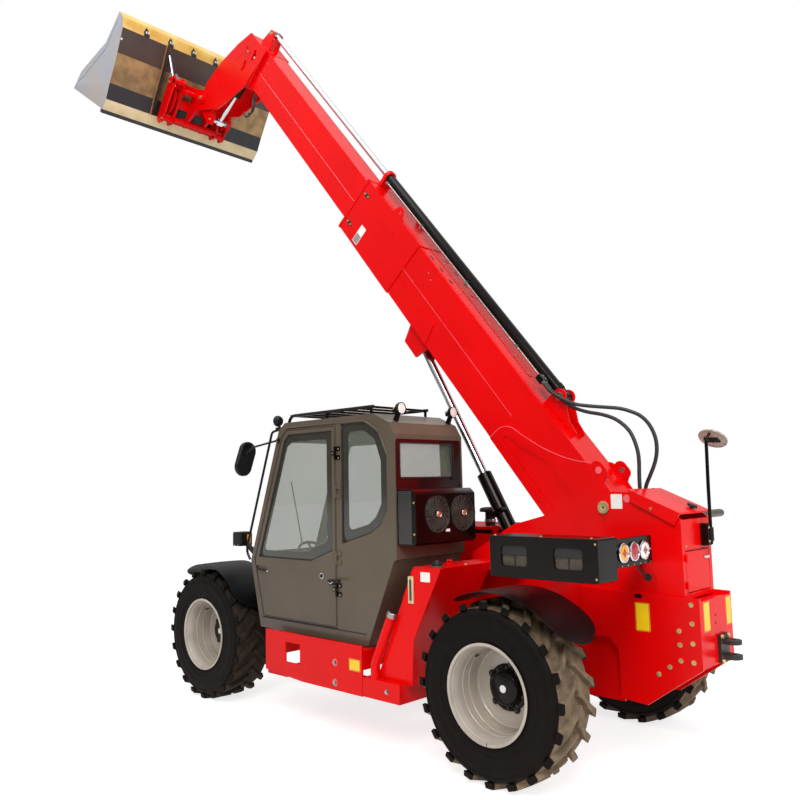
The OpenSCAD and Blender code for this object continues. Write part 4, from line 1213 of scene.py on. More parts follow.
@dataclass
class CabInterior:
    """What shows through the panes: the seat, the wheel and the console."""

    def seat(self) -> None:
        """Models the base and pads the cushion and the back."""
        base = [block((1305, 385, 765), (1695, 795, 905), ABS, 12),
                block((1330, 420, 905), (1670, 760, 1000), ABS, 10)]
        for i in range(5):
            base.append(block((1318, 405, 912 + i * 16), (1682, 775, 921 + i * 16), SEAL, 3))
        place(base, "seat_base", "chassis")
        cushion = self.padded_form((1290, 360, 1004), (1775, 820, 1116), 30)
        back = self.padded_form((1228, 380, 1130), (1362, 800, 1598), 34)
        head = self.padded_form((1204, 476, 1604), (1286, 704, 1752), 24)
        lean = moved_to(1300, 0, 1120) @ Matrix.Rotation(math.radians(-4), 4,
                                                         "Y") @ moved_to(-1300, 0, -1120)
        back.data.transform(lean)
        pads = [cushion, back, head]
        pads += [self.padded_form((1335, y, 1122), (1735, y + 58, 1163), 12) for y in (346, 776)]
        seat = place(pads, "seat_cushions", "chassis", stands_for=["seat"], smooth=60)

    def padded_form(self, low: Point3, high: Point3, crown: float) -> bpy.types.Object:
        """Makes a crowned cushion: a subdivided block whose faces swell towards their middles.

        Args:
            low: the lowest corner.
            high: the highest corner.
            crown: how far the edges draw in.

        Returns:
            The cushion with pressed lines.
        """
        centre = Vector([(a + b) / 2 for a, b in zip(low, high)])
        size = Vector([b - a for a, b in zip(low, high)])
        clear_selection()
        bpy.ops.mesh.primitive_cube_add(size=1, location=centre, scale=size)
        obj = bpy.context.object
        bpy.ops.object.transform_apply()
        in_edit(obj, lambda: bpy.ops.mesh.subdivide(number_cuts=9))
        for vert in obj.data.vertices:
            rel = [abs(vert.co[i] - centre[i]) / (size[i] / 2) for i in range(3)]
            for i in range(3):
                others = max(rel[(i + 1) % 3], rel[(i + 2) % 3])
                vert.co[i] = centre[i] + (vert.co[i]
                                          - centre[i]) * (1 - crown / (size[i] / 2) * others ** 4)
            # pressed lines across the pad
            line = abs(math.sin((vert.co.y - low[1]) / (high[1] - low[1]) * math.pi * 3))
            if rel[2] > 0.9 or rel[0] > 0.9:
                vert.co += (centre - vert.co).normalized() * 5 * max(0.0, 0.3 - line) / 0.3
        modify(obj, "SUBSURF", levels=1)
        return painted(obj, VINYL)

    def console(self) -> None:
        """Models the steering column, the wheel with its spinner, the instrument hood and a stalk."""
        parts = [plate(rounded([(2300, 766), (2480, 766), (2400, 1278), (2320, 1278)], 18, 4), 482, 718,
                       ABS, 12)]
        tilt = moved_to(2290, 600, 1330) @ Matrix.Rotation(math.radians(-35), 4, "Y")
        clear_selection()
        bpy.ops.mesh.primitive_torus_add(major_radius=179, minor_radius=13, major_segments=48,
                                         minor_segments=12)
        wheel = [painted(bpy.context.object, VINYL), rod((0, 0, -88), (0, 0, 4), 24, ABS, 3),
                 rod((0, 0, -8), (0, 0, 14), 44, ABS, 5, 32)]
        for angle in (0, 120, 240):
            spoke = block((30, -11, -5), (172, 11, 3), ABS, 3)
            spoke.data.transform(Matrix.Rotation(math.radians(angle), 4, "Z"))
            wheel.append(spoke)
        wheel.append(rod((-150, 88, 6), (-150, 88, 40), 20, ABS, 8, 24))
        for part in wheel:
            part.data.transform(tilt)
        # instrument hood and stalk
        parts += [plate(rounded([(2350, 1180), (2440, 1180), (2420, 1278), (2352, 1278)], 12, 3), 500, 700,
                        LENS_DARK, 4),
                  tube([(2330, 640, 1190), (2290, 690, 1200)], 6, ABS)]
        place(parts + wheel, "steering_set", "chassis", stands_for=["steering_console"])

    def build(self) -> None:
        """Builds the seat and the controls."""
        self.seat()
        self.console()


BODY_OF: dict[str, str] = {name: body for body, names in frame["record"]["behaviour"]["bodies"].items()
                           for name in names}
BOOM_HERE = MACHINE.inverted() @ BOOM
BUCKET_HERE = MACHINE.inverted() @ BUCKET
LIFT_HERE = MACHINE.inverted() @ LIFT
TILT_HERE = MACHINE.inverted() @ TILT
Test = Callable[[Vector], bool]


def brought(parts: Sequence[bpy.types.Object], space: Matrix) -> list[bpy.types.Object]:
    """Moves parts from a local space of the boom, bucket or a cylinder into the machine's millimetres."""
    for part in parts:
        part.data.transform(space)
    return list(parts)


def seen_from(space: Matrix, test: Test) -> Test:
    """Turns a test on local coordinates into one on the machine's coordinates."""
    back = space.inverted()
    return lambda c: test(back @ c)


def dressed(source: str, name: str, finish: Finish, ease: float = 2.0,
            extra: Sequence[bpy.types.Object] = (),
            tests: Sequence[tuple[Finish, Test]] = (), cuts: Sequence[bpy.types.Object] = (),
            smooth: float = 32) -> bpy.types.Object:
    """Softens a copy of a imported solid, paints it by region, adds its trim and rides the node's body.

    Args:
        source: the node.
        name: the piece's name.
        finish: the main finish.
        ease: edge rounding.
        extra: trim, in the machine's millimetres.
        tests: finishes with the test that a face's centre has to pass.
        cuts: tools that are taken out of the copy, in the machine's millimetres.
        smooth: shading angle.

    Returns:
        The finished piece.
    """
    body = refined(source, finish, ease, cuts=cuts)
    for other, test in tests:
        repaint(body, other, test)
    return place([body, *extra], name, BODY_OF[source], stands_for=[source], smooth=smooth)


def fresh(source: str, name: str, parts: Sequence[bpy.types.Object],
          smooth: float = 32) -> bpy.types.Object:
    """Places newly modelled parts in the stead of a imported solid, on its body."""
    return place(parts, name, BODY_OF[source], stands_for=[source], smooth=smooth)


def ball(at: Point3, radius: float, finish: Finish) -> bpy.types.Object:
    """Makes a ball."""
    clear_selection()
    bpy.ops.mesh.primitive_uv_sphere_add(segments=24, ring_count=14, radius=radius, location=at)
    bpy.ops.object.transform_apply()
    return painted(bpy.context.object, finish)


def hoop(at: Point3, direction: Sequence[float], radius: float, wire: float,
         finish: Finish) -> bpy.types.Object:
    """Makes a wire ring."""
    clear_selection()
    bpy.ops.mesh.primitive_torus_add(major_radius=radius, minor_radius=wire, major_segments=48,
                                     minor_segments=8)
    return painted(aimed(bpy.context.object, at, direction), finish)


def capsule(centre: Point2, half: float, radius: float, steps: int = 12) -> list[Point2]:
    """Gives an upright capsule outline."""
    return [(centre[0] + radius * math.cos(math.pi * k / steps + turn), centre[1] + rise + radius
             * math.sin(math.pi * k / steps + turn))
            for rise, turn in ((half, 0.0), (-half, math.pi)) for k in range(steps + 1)]


def slot_shape(ends: Sequence[Point2], radius: float, start: float, end: float, finish: Finish,
               ease: float = 1.5,
               axis: str = "Y") -> bpy.types.Object:
    """Cuts a stadium-shaped plate between two end centres."""
    (a0, b0), (a1, b1) = ends
    lead = math.atan2(b1 - b0, a1 - a0)
    outline = [(a + radius * math.cos(lead + turn + math.pi * k / 12), b + radius
                * math.sin(lead + turn + math.pi * k / 12))
               for a, b, turn in ((a1, b1, -math.pi / 2), (a0, b0, math.pi / 2)) for k in range(13)]
    return plate(outline, start, end, finish, ease, axis)


# ---------- fittings of the cab ----------
@dataclass
class CabFittings:
    """What hangs on the cab: roof guard, work lamps, indicators, mirrors and the condenser with its fans."""

    right_rail: float = 245.4
    left_rail: float = 890.0
    fans: tuple[float, float] = (740.0, 440.0)
    fan_z: float = 1715.0

    def guard(self) -> None:
        """Bends the two rails down the pillars and sets the cross bars."""
        parts = []
        for y in (self.right_rail, self.left_rail):
            parts.append(tube([(1240, y, 2570), (2300, y, 2570), (2357, y, 2405)], 14, BLACK_GLOSS, 60))
            parts.append(ball((1240, y, 2570), 13.8, BLACK_GLOSS))
            for x in (1260, 1800):
                parts += [rod((x, y, 2500.3), (x, y, 2568), 12, BLACK_GLOSS, 1, 20),
                          rod((x, y, 2500.3), (x, y, 2507), 26, BLACK_GLOSS, 2),
                          bolt((x + 18, y, 2507), (0, 0, 1), 9, ZINC),
                          bolt((x - 18, y, 2507), (0, 0, 1), 9, ZINC)]
        parts += [rod((1275 + 170 * i, self.right_rail, 2571), (1275 + 170 * i, self.left_rail, 2571), 10,
                      BLACK_GLOSS, 1, 20) for i in range(7)]
        fresh("roof_guard", "roof_guard_tubes", parts)

    def front_trim(self) -> None:
        """Bends the tube ahead of the left pillar and sets the round lamp at the front corner of the roof."""
        parts = [tube([(2352, 1003, 2440), (2410, 1012, 2430), (2800, 1012, 1372), (2756, 1003, 1296)], 11,
                      BLACK_GLOSS, 50),
                 lathe([(0, 0), (30, 0), (45, 18), (50, 34), (50, 44), (46, 46), (0, 46)],
                       (2395, 930, 2532), (1, 0, 0), ABS, 32),
                 lathe([(0, 42), (45, 42), (44, 48), (0, 50)], (2395, 930, 2532), (1, 0, 0), LENS_CLEAR,
                       32),
                 rod((2412, 930, 2470), (2412, 930, 2496), 12, ABS, 2, 20),
                 block((2380, 905, 2440), (2440, 955, 2474), ABS, 4)]
        place(parts, "cab_front_trim", "chassis")

    def work_lamps(self) -> list[bpy.types.Object]:
        """Turns the two round work lamps with their cream faces and sets them on brackets."""
        parts = []
        for y in (884, 262):
            foot, back = (975, y, 2530), (-1, 0, 0)
            parts.append(lathe([(0, 0), (22, 0), (31, 3), (41, 12), (46, 26), (47.6, 30), (47.6, 50),
                                (44, 50), (42, 45), (0, 45)], foot, back, ABS, 36))
            parts.append(lathe([(0, 44), (42, 44), (41, 47), (24, 49), (0, 49.8)], foot, back, LENS_CLEAR,
                               36))
            parts.append(hoop((927, y, 2530), back, 30, 1.2, CHROME))
            parts.append(plate([(975, 2427.5), (1015, 2446.5), (985, 2500), (945, 2500)], y - 10, y + 10,
                               BLACK_GLOSS, 2))
            parts += [block((950, y + s * 50 - 2, 2498), (976, y + s * 50 + 2, 2538), BLACK_GLOSS, 1)
                      for s in (-1, 1)]
            parts.append(block((950, y - 52, 2496), (976, y + 52, 2501), BLACK_GLOSS, 1))
            parts += [bolt((963, y + s * 52, 2530), (0, s, 0), 12, ZINC) for s in (-1, 1)]
        return parts

    def indicators(self) -> list[bpy.types.Object]:
        """Models the two front indicator boxes with amber and clear lenses on folded brackets."""
        parts = []
        for y in (830, -970):
            parts.append(block((2962, y, 1400), (3088, y + 140, 1530), ABS, 12, 3))
            parts.append(block((2957, y + 22, 1424), (2966, y + 60, 1506), LENS_AMBER, 6, 3))
            parts.append(block((2958, y + 66, 1416), (2966, y + 128, 1514), LENS_DARK, 6, 3))
            parts.append(block((3084, y + 14, 1416), (3091, y + 126, 1514), LENS_CLEAR, 6, 3))
            parts += [rod((3000 + 50 * i, y + 140, 1410), (3000 + 50 * i, y + 143, 1410), 5, ZINC, 1, 12)
                      for i in range(2)]
        parts.append(plate([(2736, 1250), (2745.3, 1290), (2732, 1330), (2975, 1450), (2975, 1405),
                            (2790, 1290)], 890, 910, BLACK_GLOSS, 2))
        parts.append(plate([(2500, 700.5), (2550, 700.5), (2630, 1270), (2980, 1402), (2965, 1430),
                            (2580, 1310)], -910, -890, BLACK_GLOSS, 2))
        return parts

    def mirrors(self) -> None:
        """Models the cab mirror with its capsule head, and the round mirror on its pole at the rear."""
        dish, lean = (-1005, -250, 2215), (-0.07, -0.61, 0.79)
        parts = [plate(capsule((1030, 2205), 75, 87), 2782, 2825, ABS, 13, "X", 4),
                 plate(capsule((1030, 2205), 75, 77), 2780.2, 2783, LENS_DARK, 0.8, "X"),
                 rod((2795, 1040, 2233), (2660, 1040, 2305), 12, ABS, 2, 20),
                 ball((2660, 1040, 2305), 17, ABS),
                 rod((2660, 1040, 2305), (2335, 1013, 2350), 9, ABS, 1, 20),
                 block((2315, 1000.5, 2330), (2352, 1019, 2370), ABS, 5),
                 bolt((2333, 1019, 2360), (0, 1, 0), 10, ZINC),
                 bolt((2333, 1019, 2338), (0, 1, 0), 10, ZINC),
                 tube([(-1012, -108, 1500), (-1012, -110, 1900), (-1012, -119, 2120), (-1012, -122, 2215)],
                      12, BLACK_GLOSS, 60),
                 ball((-1012, -122, 2215), 17, BLACK_GLOSS), rod((-1012, -122, 2215), (-1005, -200, 2252),
                                                                 9, BLACK_GLOSS, 1, 20),
                 lathe([(0, 34.5), (42, 33), (76, 26), (94, 16), (100, 8), (100, 3), (95, 0), (92, 5),
                        (0, 9)], dish, lean, RIM, 48),
                 # the convex mirror's glass face in light grey lacquer: a painted reflection in place of a mirror
                 lathe([(0, -1), (52, 1.5), (92, 5.5), (92, 8), (0, 8)], dish, lean, RIM, 40),
                 hoop((-1005.4, -253, 2219), lean, 97, 3.5, STEEL),
                 aimed(plate([(-52, -20), (52, -20), (40, 20), (-40, 20)], -12, 4, ABS, 3, "Z"),
                       (-1006, -248, 2212), lean),
                 block((-1014, -124, 1490), (-957.5, -62, 1640), BLACK_GLOSS, 6),
                 rod((-1012, -108, 1520), (-1012, -108, 1612), 19, ABS, 3),
                 bolt((-1014, -72, 1520), (-1, 0, 0), 12, ZINC),
                 bolt((-1014, -72, 1612), (-1, 0, 0), 12, ZINC)]
        for head in parts[:2]:
            head.data.transform(moved_to(0, 1024, 2205) @ Matrix.Rotation(math.radians(18), 4, "X")
                                @ moved_to(0, -1030, -2205))
        fresh("mirrors", "mirrors_on_arms", parts, 45)

    def condenser(self) -> None:
        """Models the gloss black case, its fan guards of curved wires with gold hubs, and the ribbed end."""
        side = [(710, 1510), (730, 1490), (899.7, 1490), (899.7, 1905), (750, 1905), (710, 1868)]
        case = cut(plate(rounded(side, 9, 3), 290, 985, BLACK_GLOSS, 6, segments=3),
                   *(rod((700, y, self.fan_z), (820, y, self.fan_z), 141, BLACK_GLOSS, 0, 56)
                     for y in self.fans))
        parts = [case, plate([(711, 1868), (750.5, 1906.5), (899, 1906.5), (899, 1904), (752, 1904),
                              (714, 1866)], 293, 982, WINDOW_MAROON, 0.6),
                 block((752, 982, 1503), (888, 987, 1893), FRIT, 2)]
        parts += [block((756, 985, 1511 + 15 * i), (884, 989.5, 1518 + 15 * i), SEAL, 1) for i in range(25)]
        parts += [bolt((728, 985, z), (0, 1, 0), 12, ZINC) for z in (1806, 1575)]
        parts += label((604, 1578), (652, 1600), 710, -1, LABEL_WHITE, "X")
        parts += [block((840, 285, z), (894, 291, z + 40), BLACK_GLOSS, 2) for z in (1540, 1820)]
        for y in self.fans:
            hub, back = (712, y, self.fan_z), (-1, 0, 0)
            parts.append(lathe([(139, -1), (152, -1), (151, 3), (145, 6), (139, 4)], hub, back, BLACK_GLOSS,
                               56))
            parts += [hoop(hub, back, r, 2.1, STUB) for r in (44, 60, 76, 92, 108, 124, 136)]
            parts.append(hoop((697, y, self.fan_z), back, 24, 3, CHROME))
            for i in range(18):
                start = math.tau * i / 18
                parts.append(tube([(709 + 3 * k / 6, y + (28 + 19 * k) * math.cos(start + 0.09 * k),
                                    self.fan_z + (28 + 19 * k) * math.sin(start + 0.09 * k))
                                   for k in range(7)], 1.9, STUB, 0, 1))
            parts.append(lathe([(0, 0), (33, 0), (33, 5), (28, 9), (0, 9)], hub, back, ABS, 32))
            parts.append(lathe([(0, 9), (20, 9), (19, 13), (12, 15.5), (5, 16), (4, 13), (0, 13)], hub,
                               back, HUB_GOLD, 32))
            parts.append(rod((785.3, y, self.fan_z), (825, y, self.fan_z), 18, STEEL, 1))
        fresh("condenser_box", "condenser_case", parts)
        for name, y in (("fan_left", self.fans[0]), ("fan_right", self.fans[1])):
            blades = [lathe([(0, 0), (34, 0), (39, 6), (39, 44), (34, 50), (0, 50)], (735, y, self.fan_z),
                            (1, 0, 0), ABS, 32)]
            for i in range(7):
                clear_selection()
                bpy.ops.mesh.primitive_grid_add(x_subdivisions=6, y_subdivisions=3)
                blade = bpy.context.object
                for k, vert in enumerate(blade.data.vertices):
                    out, chord = (k % 7) / 6, (k // 7) / 3 - 0.5
                    radius, turn = 36 + 94 * out, chord * (0.75 - 0.2 * out) + 0.25 * out
                    vert.co = (radius * math.cos(turn), radius * math.sin(turn), 25 + chord
                               * (30 - 10 * out))
                modify(blade, "SOLIDIFY", thickness=2.4, offset=0.0)
                blade.data.transform(Matrix.Translation((735, y, self.fan_z))
                                     @ Matrix.Rotation(math.radians(90), 4, "Y")
                                     @ Matrix.Rotation(math.tau * i / 7, 4, "Z"))
                blades.append(painted(outward(blade, 0.001), ABS))
            fresh(name, name + "_blades", blades, 40)

    def build(self) -> None:
        """Builds all fittings."""
        self.guard()
        self.front_trim()
        fresh("lamps", "lamps_and_indicators", self.work_lamps() + self.indicators())
        self.mirrors()
        self.condenser()


# ---------- side box and tail lamps ----------
@dataclass
class SideBox:
    """The gloss black box over the rear wheel, with meshed windows, and the tail lamps on its flange."""

    windows: tuple[float, float] = (-728.0, -330.0)

    def mesh(self, x: float) -> list[bpy.types.Object]:
        """Weaves the expanded mesh behind one window."""
        parts = []
        for step in range(24):
            reach = -130 + 14 * step
            for side in (1, -1):
                ends = [(max(0, reach), max(0, -reach)), (min(200, reach + 130), min(130, 200 - reach))]
                if ends[1][0] - ends[0][0] > 6:
                    a, b = [(x + (u if side > 0 else 200 - u), 1068 + side, 1410 + w) for u, w in ends]
                    parts.append(rod(a, b, 1.7, STUB, 0, 6))
        parts.append(block((x, 1058, 1410), (x + 200, 1061, 1478), STUB, 0.5))
        parts.append(block((x, 1071, 1479), (x + 200, 1076, 1541), SEAL, 0.5))
        parts.append(rod((x + 100, 1073, 1408), (x + 100, 1073, 1542), 3, BLACK_GLOSS, 0, 10))
        return parts

    def box(self) -> None:
        """Models the case, its windows and mesh, its top screws, the lamp flange and the two brackets."""
        shell = plate(rounded([(-833, 1337), (-37, 1337), (-37, 1601), (-833, 1601)], 14, 4), 854, 1087,
                      BLACK_GLOSS, 7, segments=3)
        tools = [block((-813, 874, 1357), (-57, 1067, 1581), BLACK_GLOSS, 0)]
        tools += [plate(rounded([(x, 1410), (x + 200, 1410), (x + 200, 1540), (x, 1540)], 30, 6), 1050,
                        1100, BLACK_GLOSS, 0) for x in self.windows]
        parts = [eased(cut(shell, *tools), 1.6, 2, 40)]
        for x in self.windows:
            parts += self.mesh(x)
        parts += [bolt((x, 1075, 1601), (0, 0, 1), 13, ZINC) for x in (-790, -435, -80)]
        parts += [bolt((-820, 1087, z), (0, 1, 0), 10, ZINC) for z in (1570, 1366)]
        parts.append(plate(rounded([(406, 1411), (856, 1411), (856, 1585), (406, 1585)], 8, 3), -832.8,
                           -827, BLACK_GLOSS, 1.2, "X"))
        parts += [block((-831, 408, 1581), (-786, 856, 1585), BLACK_GLOSS, 1),
                  block((-831, 408, 1411), (-800, 856, 1415), BLACK_GLOSS, 1)]
        parts += [rod((-833, y, 1419), (-835.5, y, 1419), 4.5, ZINC, 0.8, 12)
                  for y in (430, 500, 570, 650, 730, 800)]
        parts.append(bolt((-833, 432, 1500), (-1, 0, 0), 10, ZINC))
        parts += [block((x, 230.5, 1380), (x + 60, 855, 1430), BLACK_GLOSS, 4) for x in (-700, -160)]
        fresh("side_box", "side_box_case", parts)

    def lamps(self) -> None:
        """Turns three tail lamps: chrome bezels round amber, red and white lenses with a cross."""
        parts = []
        for y, lens in ((788, LENS_AMBER), (655, LENS_RED), (522, LENS_CLEAR)):
            foot, back = (-833.3, y, 1498), (-1, 0, 0)
            parts.append(lathe([(0, 0), (56, 0), (56, 7), (0, 7)], foot, back, ABS, 40))
            parts.append(lathe([(50, 6), (62, 5), (62, 10), (58, 14.5), (52, 15), (50, 12)], foot, back,
                               CHROME, 40))
            parts.append(lathe([(0, 6), (50, 6), (50, 10), (40, 12.4), (18, 14), (0, 14.3)], foot, back,
                               lens, 40))
            parts.append(lathe([(13, 13), (20, 13), (20, 15), (13, 15)], foot, back, WINDOW_MAROON, 32))
            parts += [block((-849.5, y - 4 - a, 1494 - b), (-846.5, y + 4 + a, 1502 + b), LENS_RED, 0.5)
                      for a, b in ((24, 0), (0, 24))]
        fresh("tail_lights", "tail_lamps", parts)
        cable = [tube([(-800, 470, 1412), (-720, 380, 1388), (-655, 262, 1392), (-652, 243, 1350),
                       (-672, 240, 1314), (-704, 236, 1292)], 7, HOSE, 30),
                 rod((-708, 229, 1291), (-708, 232.5, 1291), 27, SEAL, 1, 32)]
        place(cable, "lamp_cable", "chassis")

    def build(self) -> None:
        """Builds the box and its lamps."""
        self.box()
        self.lamps()


# ---------- tower, counterweight, lid, frame ----------
@dataclass
class Chassis:
    """Tower, counterweight, hitch, lid, service door, sill, tank, engine side, axles and frame."""

    weights: tuple[Point2, ...] = ((-1006, 1137), (-1005, 1018), (-916, 964), (-1004, 893), (-917, 876),
                                   (-918, 776), (-1003, 775),
                                   (-841, 727), (-762, 671))

    def tower(self) -> None:
        """Dresses the tower with its pivot caps, label and seam, and dark discs: painted shade that stands for its
        small holes.
        """
        one_side = [lathe([(0, 0), (43, 0), (43, 3), (38, 5), (12, 5), (9, 3), (0, 3)], (-402, 242, 1753),
                          (0, 1, 0), ZINC, 40),
                    # dark discs at the cap's centre and lower down: painted shade for small holes
                    rod((-402, 243, 1753), (-402, 246, 1753), 8, SEAL, 0, 16),
                    # pale pink disc: painted highlight on the red paint
                    rod((-582, 229, 1815), (-582, 234, 1815), 27, PINK_HIGHLIGHT, 1.5, 32),
                    rod((-401, 229, 1666), (-401, 231, 1666), 7, SEAL, 0, 16),
                    tube([(-640, 230.5, 1376), (-700, 230.5, 1370), (-752, 230.5, 1340),
                          (-775, 230.5, 1290), (-780, 230.5, 1202)], 2.2, RED, 30)]
        extra = mirrored(one_side) + label((-545, 1745), (-459, 1846), 230, 1, LABEL_WHITE)
        extra += [rod((-957, 171, 1500), (-962, 171, 1500), 8, ZINC, 1.5, 16),
                  block((-958.5, -180, 1473), (-956, 180, 1475), SEAL, 0.3)]
        extra += [rod((-584, -50, 1857), (-584, -50, 1862), 24, SEAL, 1.5, 24),
                  rod((-580, 30, 1857), (-580, 30, 1862), 24, SEAL, 1.5, 24)]
        dressed("boom_tower", "boom_tower_plates", RED, 5, extra,
                [(ZINC, lambda c: abs(c.y) > 231 and math.hypot(c.x + 402, c.z - 1753) < 50)])

    def weight(self) -> None:
        """Dresses the counterweight with its bolts, blank labels and a dark red oval sheet: painted shade that stands
        for the oval hole.
        """
        one_side = [bolt((x, 255, z), (0, 1, 0), 23, ZINC) for x, z in self.weights]
        # dark red oval sheet on the face: painted shade where the oval hole is
        one_side.append(slot_shape([(-656, 1163), (-628, 1165)], 14, 254, 255.3, WINDOW_MAROON, 0))
        one_side += label((-718, 935), (-616, 1121), 255, 1, LABEL_YELLOW, "Y", LABEL_INK)
        extra = mirrored(one_side)
        extra += label((106, 962), (200, 1148), -1061, -1, LABEL_YELLOW, "X", LABEL_INK)
        extra += label((-246, 962), (-158, 1148), -1061, -1, LABEL_YELLOW, "X", LABEL_INK)
        extra += [rod((-1061, 20, z), (-1063, 20, z), 7, SEAL, 0, 14) for z in (1000, 1050)]
        dressed("counterweight", "counterweight_plates", RED, 6, extra,
                [(ZINC, lambda c: abs(c.y) > 255.6)])
        jaws = [bolt((-1083, -60 + s * 50, z), (-1, 0, 0), 22, ZINC) for s in (-1, 1) for z in (752, 908)]
        dressed("hitch", "towing_jaws", BLACK_CAST, 4, jaws, [(ZINC, lambda c: c.x > -1100 and c.x < -1083.5
                                                               and abs(abs(c.y + 60) - 50) < 10)])

    def rear(self) -> None:
        """Dresses the lid and the service door with knob, latch, bolts and hinges."""
        lean = (-0.402, 0.0, 0.916)
        knob = [lathe([(0, 0), (14, 0), (14, 9), (30, 11), (33, 17), (30, 24), (12, 27), (0, 27)],
                      (-910, -53, 1744), lean, ABS, 32)]
        for i in range(6):
            grip = rod((30, 0, 11), (30, 0, 25), 7, ABS, 2, 14)
            grip.data.transform(Matrix.Rotation(math.tau * i / 6, 4, "Z"))
            knob.append(aimed(grip, (-910, -53, 1744), lean))
        lid = knob + [bolt((-763, 250, 1748), (0, 1, 0), 13, ZINC),
                      bolt((-763, -250, 1748), (0, -1, 0), 13, ZINC)]
        dressed("rear_lid", "rear_lid_sheet", RED, 3, lid, [(ABS, lambda c: c.x > -608 and c.z > 1866
                                                             and abs(abs(c.y + 20) - 110) < 22)])
        latch = [block((-965, -176, 1401), (-957, -98, 1421), CHROME, 3),
                 rod((-957, -112, 1411), (-970, -112, 1411), 11, CHROME, 2),
                 rod((-957, 160, 1413), (-962, 160, 1413), 8, ZINC, 1.5, 16)]
        dressed("rear_door", "service_door_sheet", RED, 2, latch)

    def tank_side(self) -> None:
        """Dresses sill and tank: bolts, blank labels, level gauge, breather, filler."""
        sill = [bolt((1496, 1100, z), (0, 1, 0), 27, STEEL) for z in (578, 427)]
        # the washers under the sill bolts are pale pink: painted highlight
        sill += [rod((1496, 1099, z), (1496, 1101.5, z), 29, PINK_HIGHLIGHT, 0.8, 32) for z in (578, 427)]
        sill += label((1211, 545), (1333, 632), 1100, 1, LABEL_YELLOW, "Y", LABEL_INK)
        dressed("side_sill", "side_sill_panel", RED, 4, sill)
        cap = (525, 975)
        tank = [block((702, 1029, 1086), (752, 1042, 1280), BACK_CREAM, 4),
                rod((*cap, 1349), (*cap, 1362), 48, STUB, 3, 36),
                cut(plate(rounded([(470, 1348), (530, 1348), (518, 1400), (482, 1400)], 10, 3), 858, 870,
                          RED, 0),
                    rod((500, 850, 1378), (500, 880, 1378), 12, RED, 0, 20)),
                rod((908, 1060, 980), (893, 1060, 1009), 41, STEEL, 4, 36),
                rod((897, 1060, 1001), (889, 1060, 1017), 36, CHROME, 6, 36),
                block((716, 1041, 1108), (738, 1044, 1258), LENS_DARK, 2),
                rod((727, 1041, 1096), (727, 1046, 1096), 7, ZINC, 1, 16),
                rod((727, 1041, 1270), (727, 1046, 1270), 7, ZINC, 1, 16),
                lathe([(0, 12), (40, 12), (40, 20), (36, 34), (30, 40), (14, 44), (0, 45)], (*cap, 1350),
                      (0, 0, 1), ABS, 36),
                rod((*cap, 1388), (*cap, 1397), 12, CHROME, 2), bolt((470, 720, 1350), (0, 0, 1), 18, ZINC),
                bolt((926, 1100, 448), (0, 1, 0), 27, STEEL),
                tube([(714, 1030, 1325), (1090, 1030, 505)], 4, RED),
                tube([(440, 1030, 1350), (718, 1030, 827)], 4, RED),
                tube([(440, 1030, 1350), (690, 1030, 1350), (714, 1030, 1325)], 4, RED)]
        tank += label((545, 1248), (636, 1316), 1030, 1, LABEL_WHITE)
        for i in range(10):
            tank.append(block((812 + 36 * i, 790, 515), (826 + 36 * i, 1085, 518), RED, 1))
        dressed("hydraulic_tank", "hydraulic_tank_shell", RED, 3, tank)

    def engine_side(self) -> None:
        """Dresses the hood, the air cleaner and the exhaust; the engine stays one plain block."""
        hood = [block((1000 + 75 * i, -1006, 1230), (1038 + 75 * i, -998, 1440), RED, 3) for i in range(10)]
        hood += [block((1039 + 75 * i, -1000.8, 1234), (1046 + 75 * i, -999, 1436), SEAL, 0)
                 for i in range(10)]
        hood += [block((980 + 60 * i, -930, 1559), (1005 + 60 * i, -620, 1561), SEAL, 0) for i in range(7)]
        for x in (900, 2200):
            hood += [block((x, -1007, 860), (x + 90, -999, 900), BLACK_GLOSS, 4),
                     rod((x + 20, -1007, 880), (x + 20, -1015, 880), 11, CHROME, 2)]
        hood += label((1500, 1000), (1640, 1090), -1000, -1, LABEL_YELLOW, "Y", LABEL_INK)
        hood.append(tube([(770, -1000.5, 780), (2370, -1000.5, 780)], 2, SEAL))
        dressed("engine_hood", "engine_hood_sheet", RED, 5, hood,
                [(BLACK_GLOSS, lambda c: c.y > -281 and c.y < -261 and c.z > 1550)])
        foot, up = (1130, -450, 1560), (0, 0, 1)
        cleaner = [lathe([(0, 0), (45, 0), (45, 118), (62, 120), (90, 122), (94.8, 128), (94.8, 143),
                          (88, 152), (84, 158), (52, 164), (0, 166)], foot, up, ABS, 44),
                   lathe([(44, 32), (50.5, 32), (51.5, 36), (51.5, 52), (50.5, 56), (44, 56)], foot, up,
                         STEEL, 36),
                   rod((1130, -508, 1604), (1130, -494, 1604), 7, STEEL, 1, 14)]
        cleaner += [block((1126, -450 - 95.5, 1684), (1134, -450 - 86, 1700), STEEL, 1)]
        fresh("air_cleaner", "air_cleaner_bowl", cleaner)
        pipe = [lathe([(0, 0), (27.8, 0), (27.8, 352), (25.5, 366), (19, 376), (10, 380), (0, 381)],
                      (-890, -230.6, 1690), (0, -1, 0), STUB, 36),
                hoop((-890, -236, 1690), (0, 1, 0), 29, 3, STUB)]
        fresh("exhaust_stub", "exhaust_pipe_end", pipe)

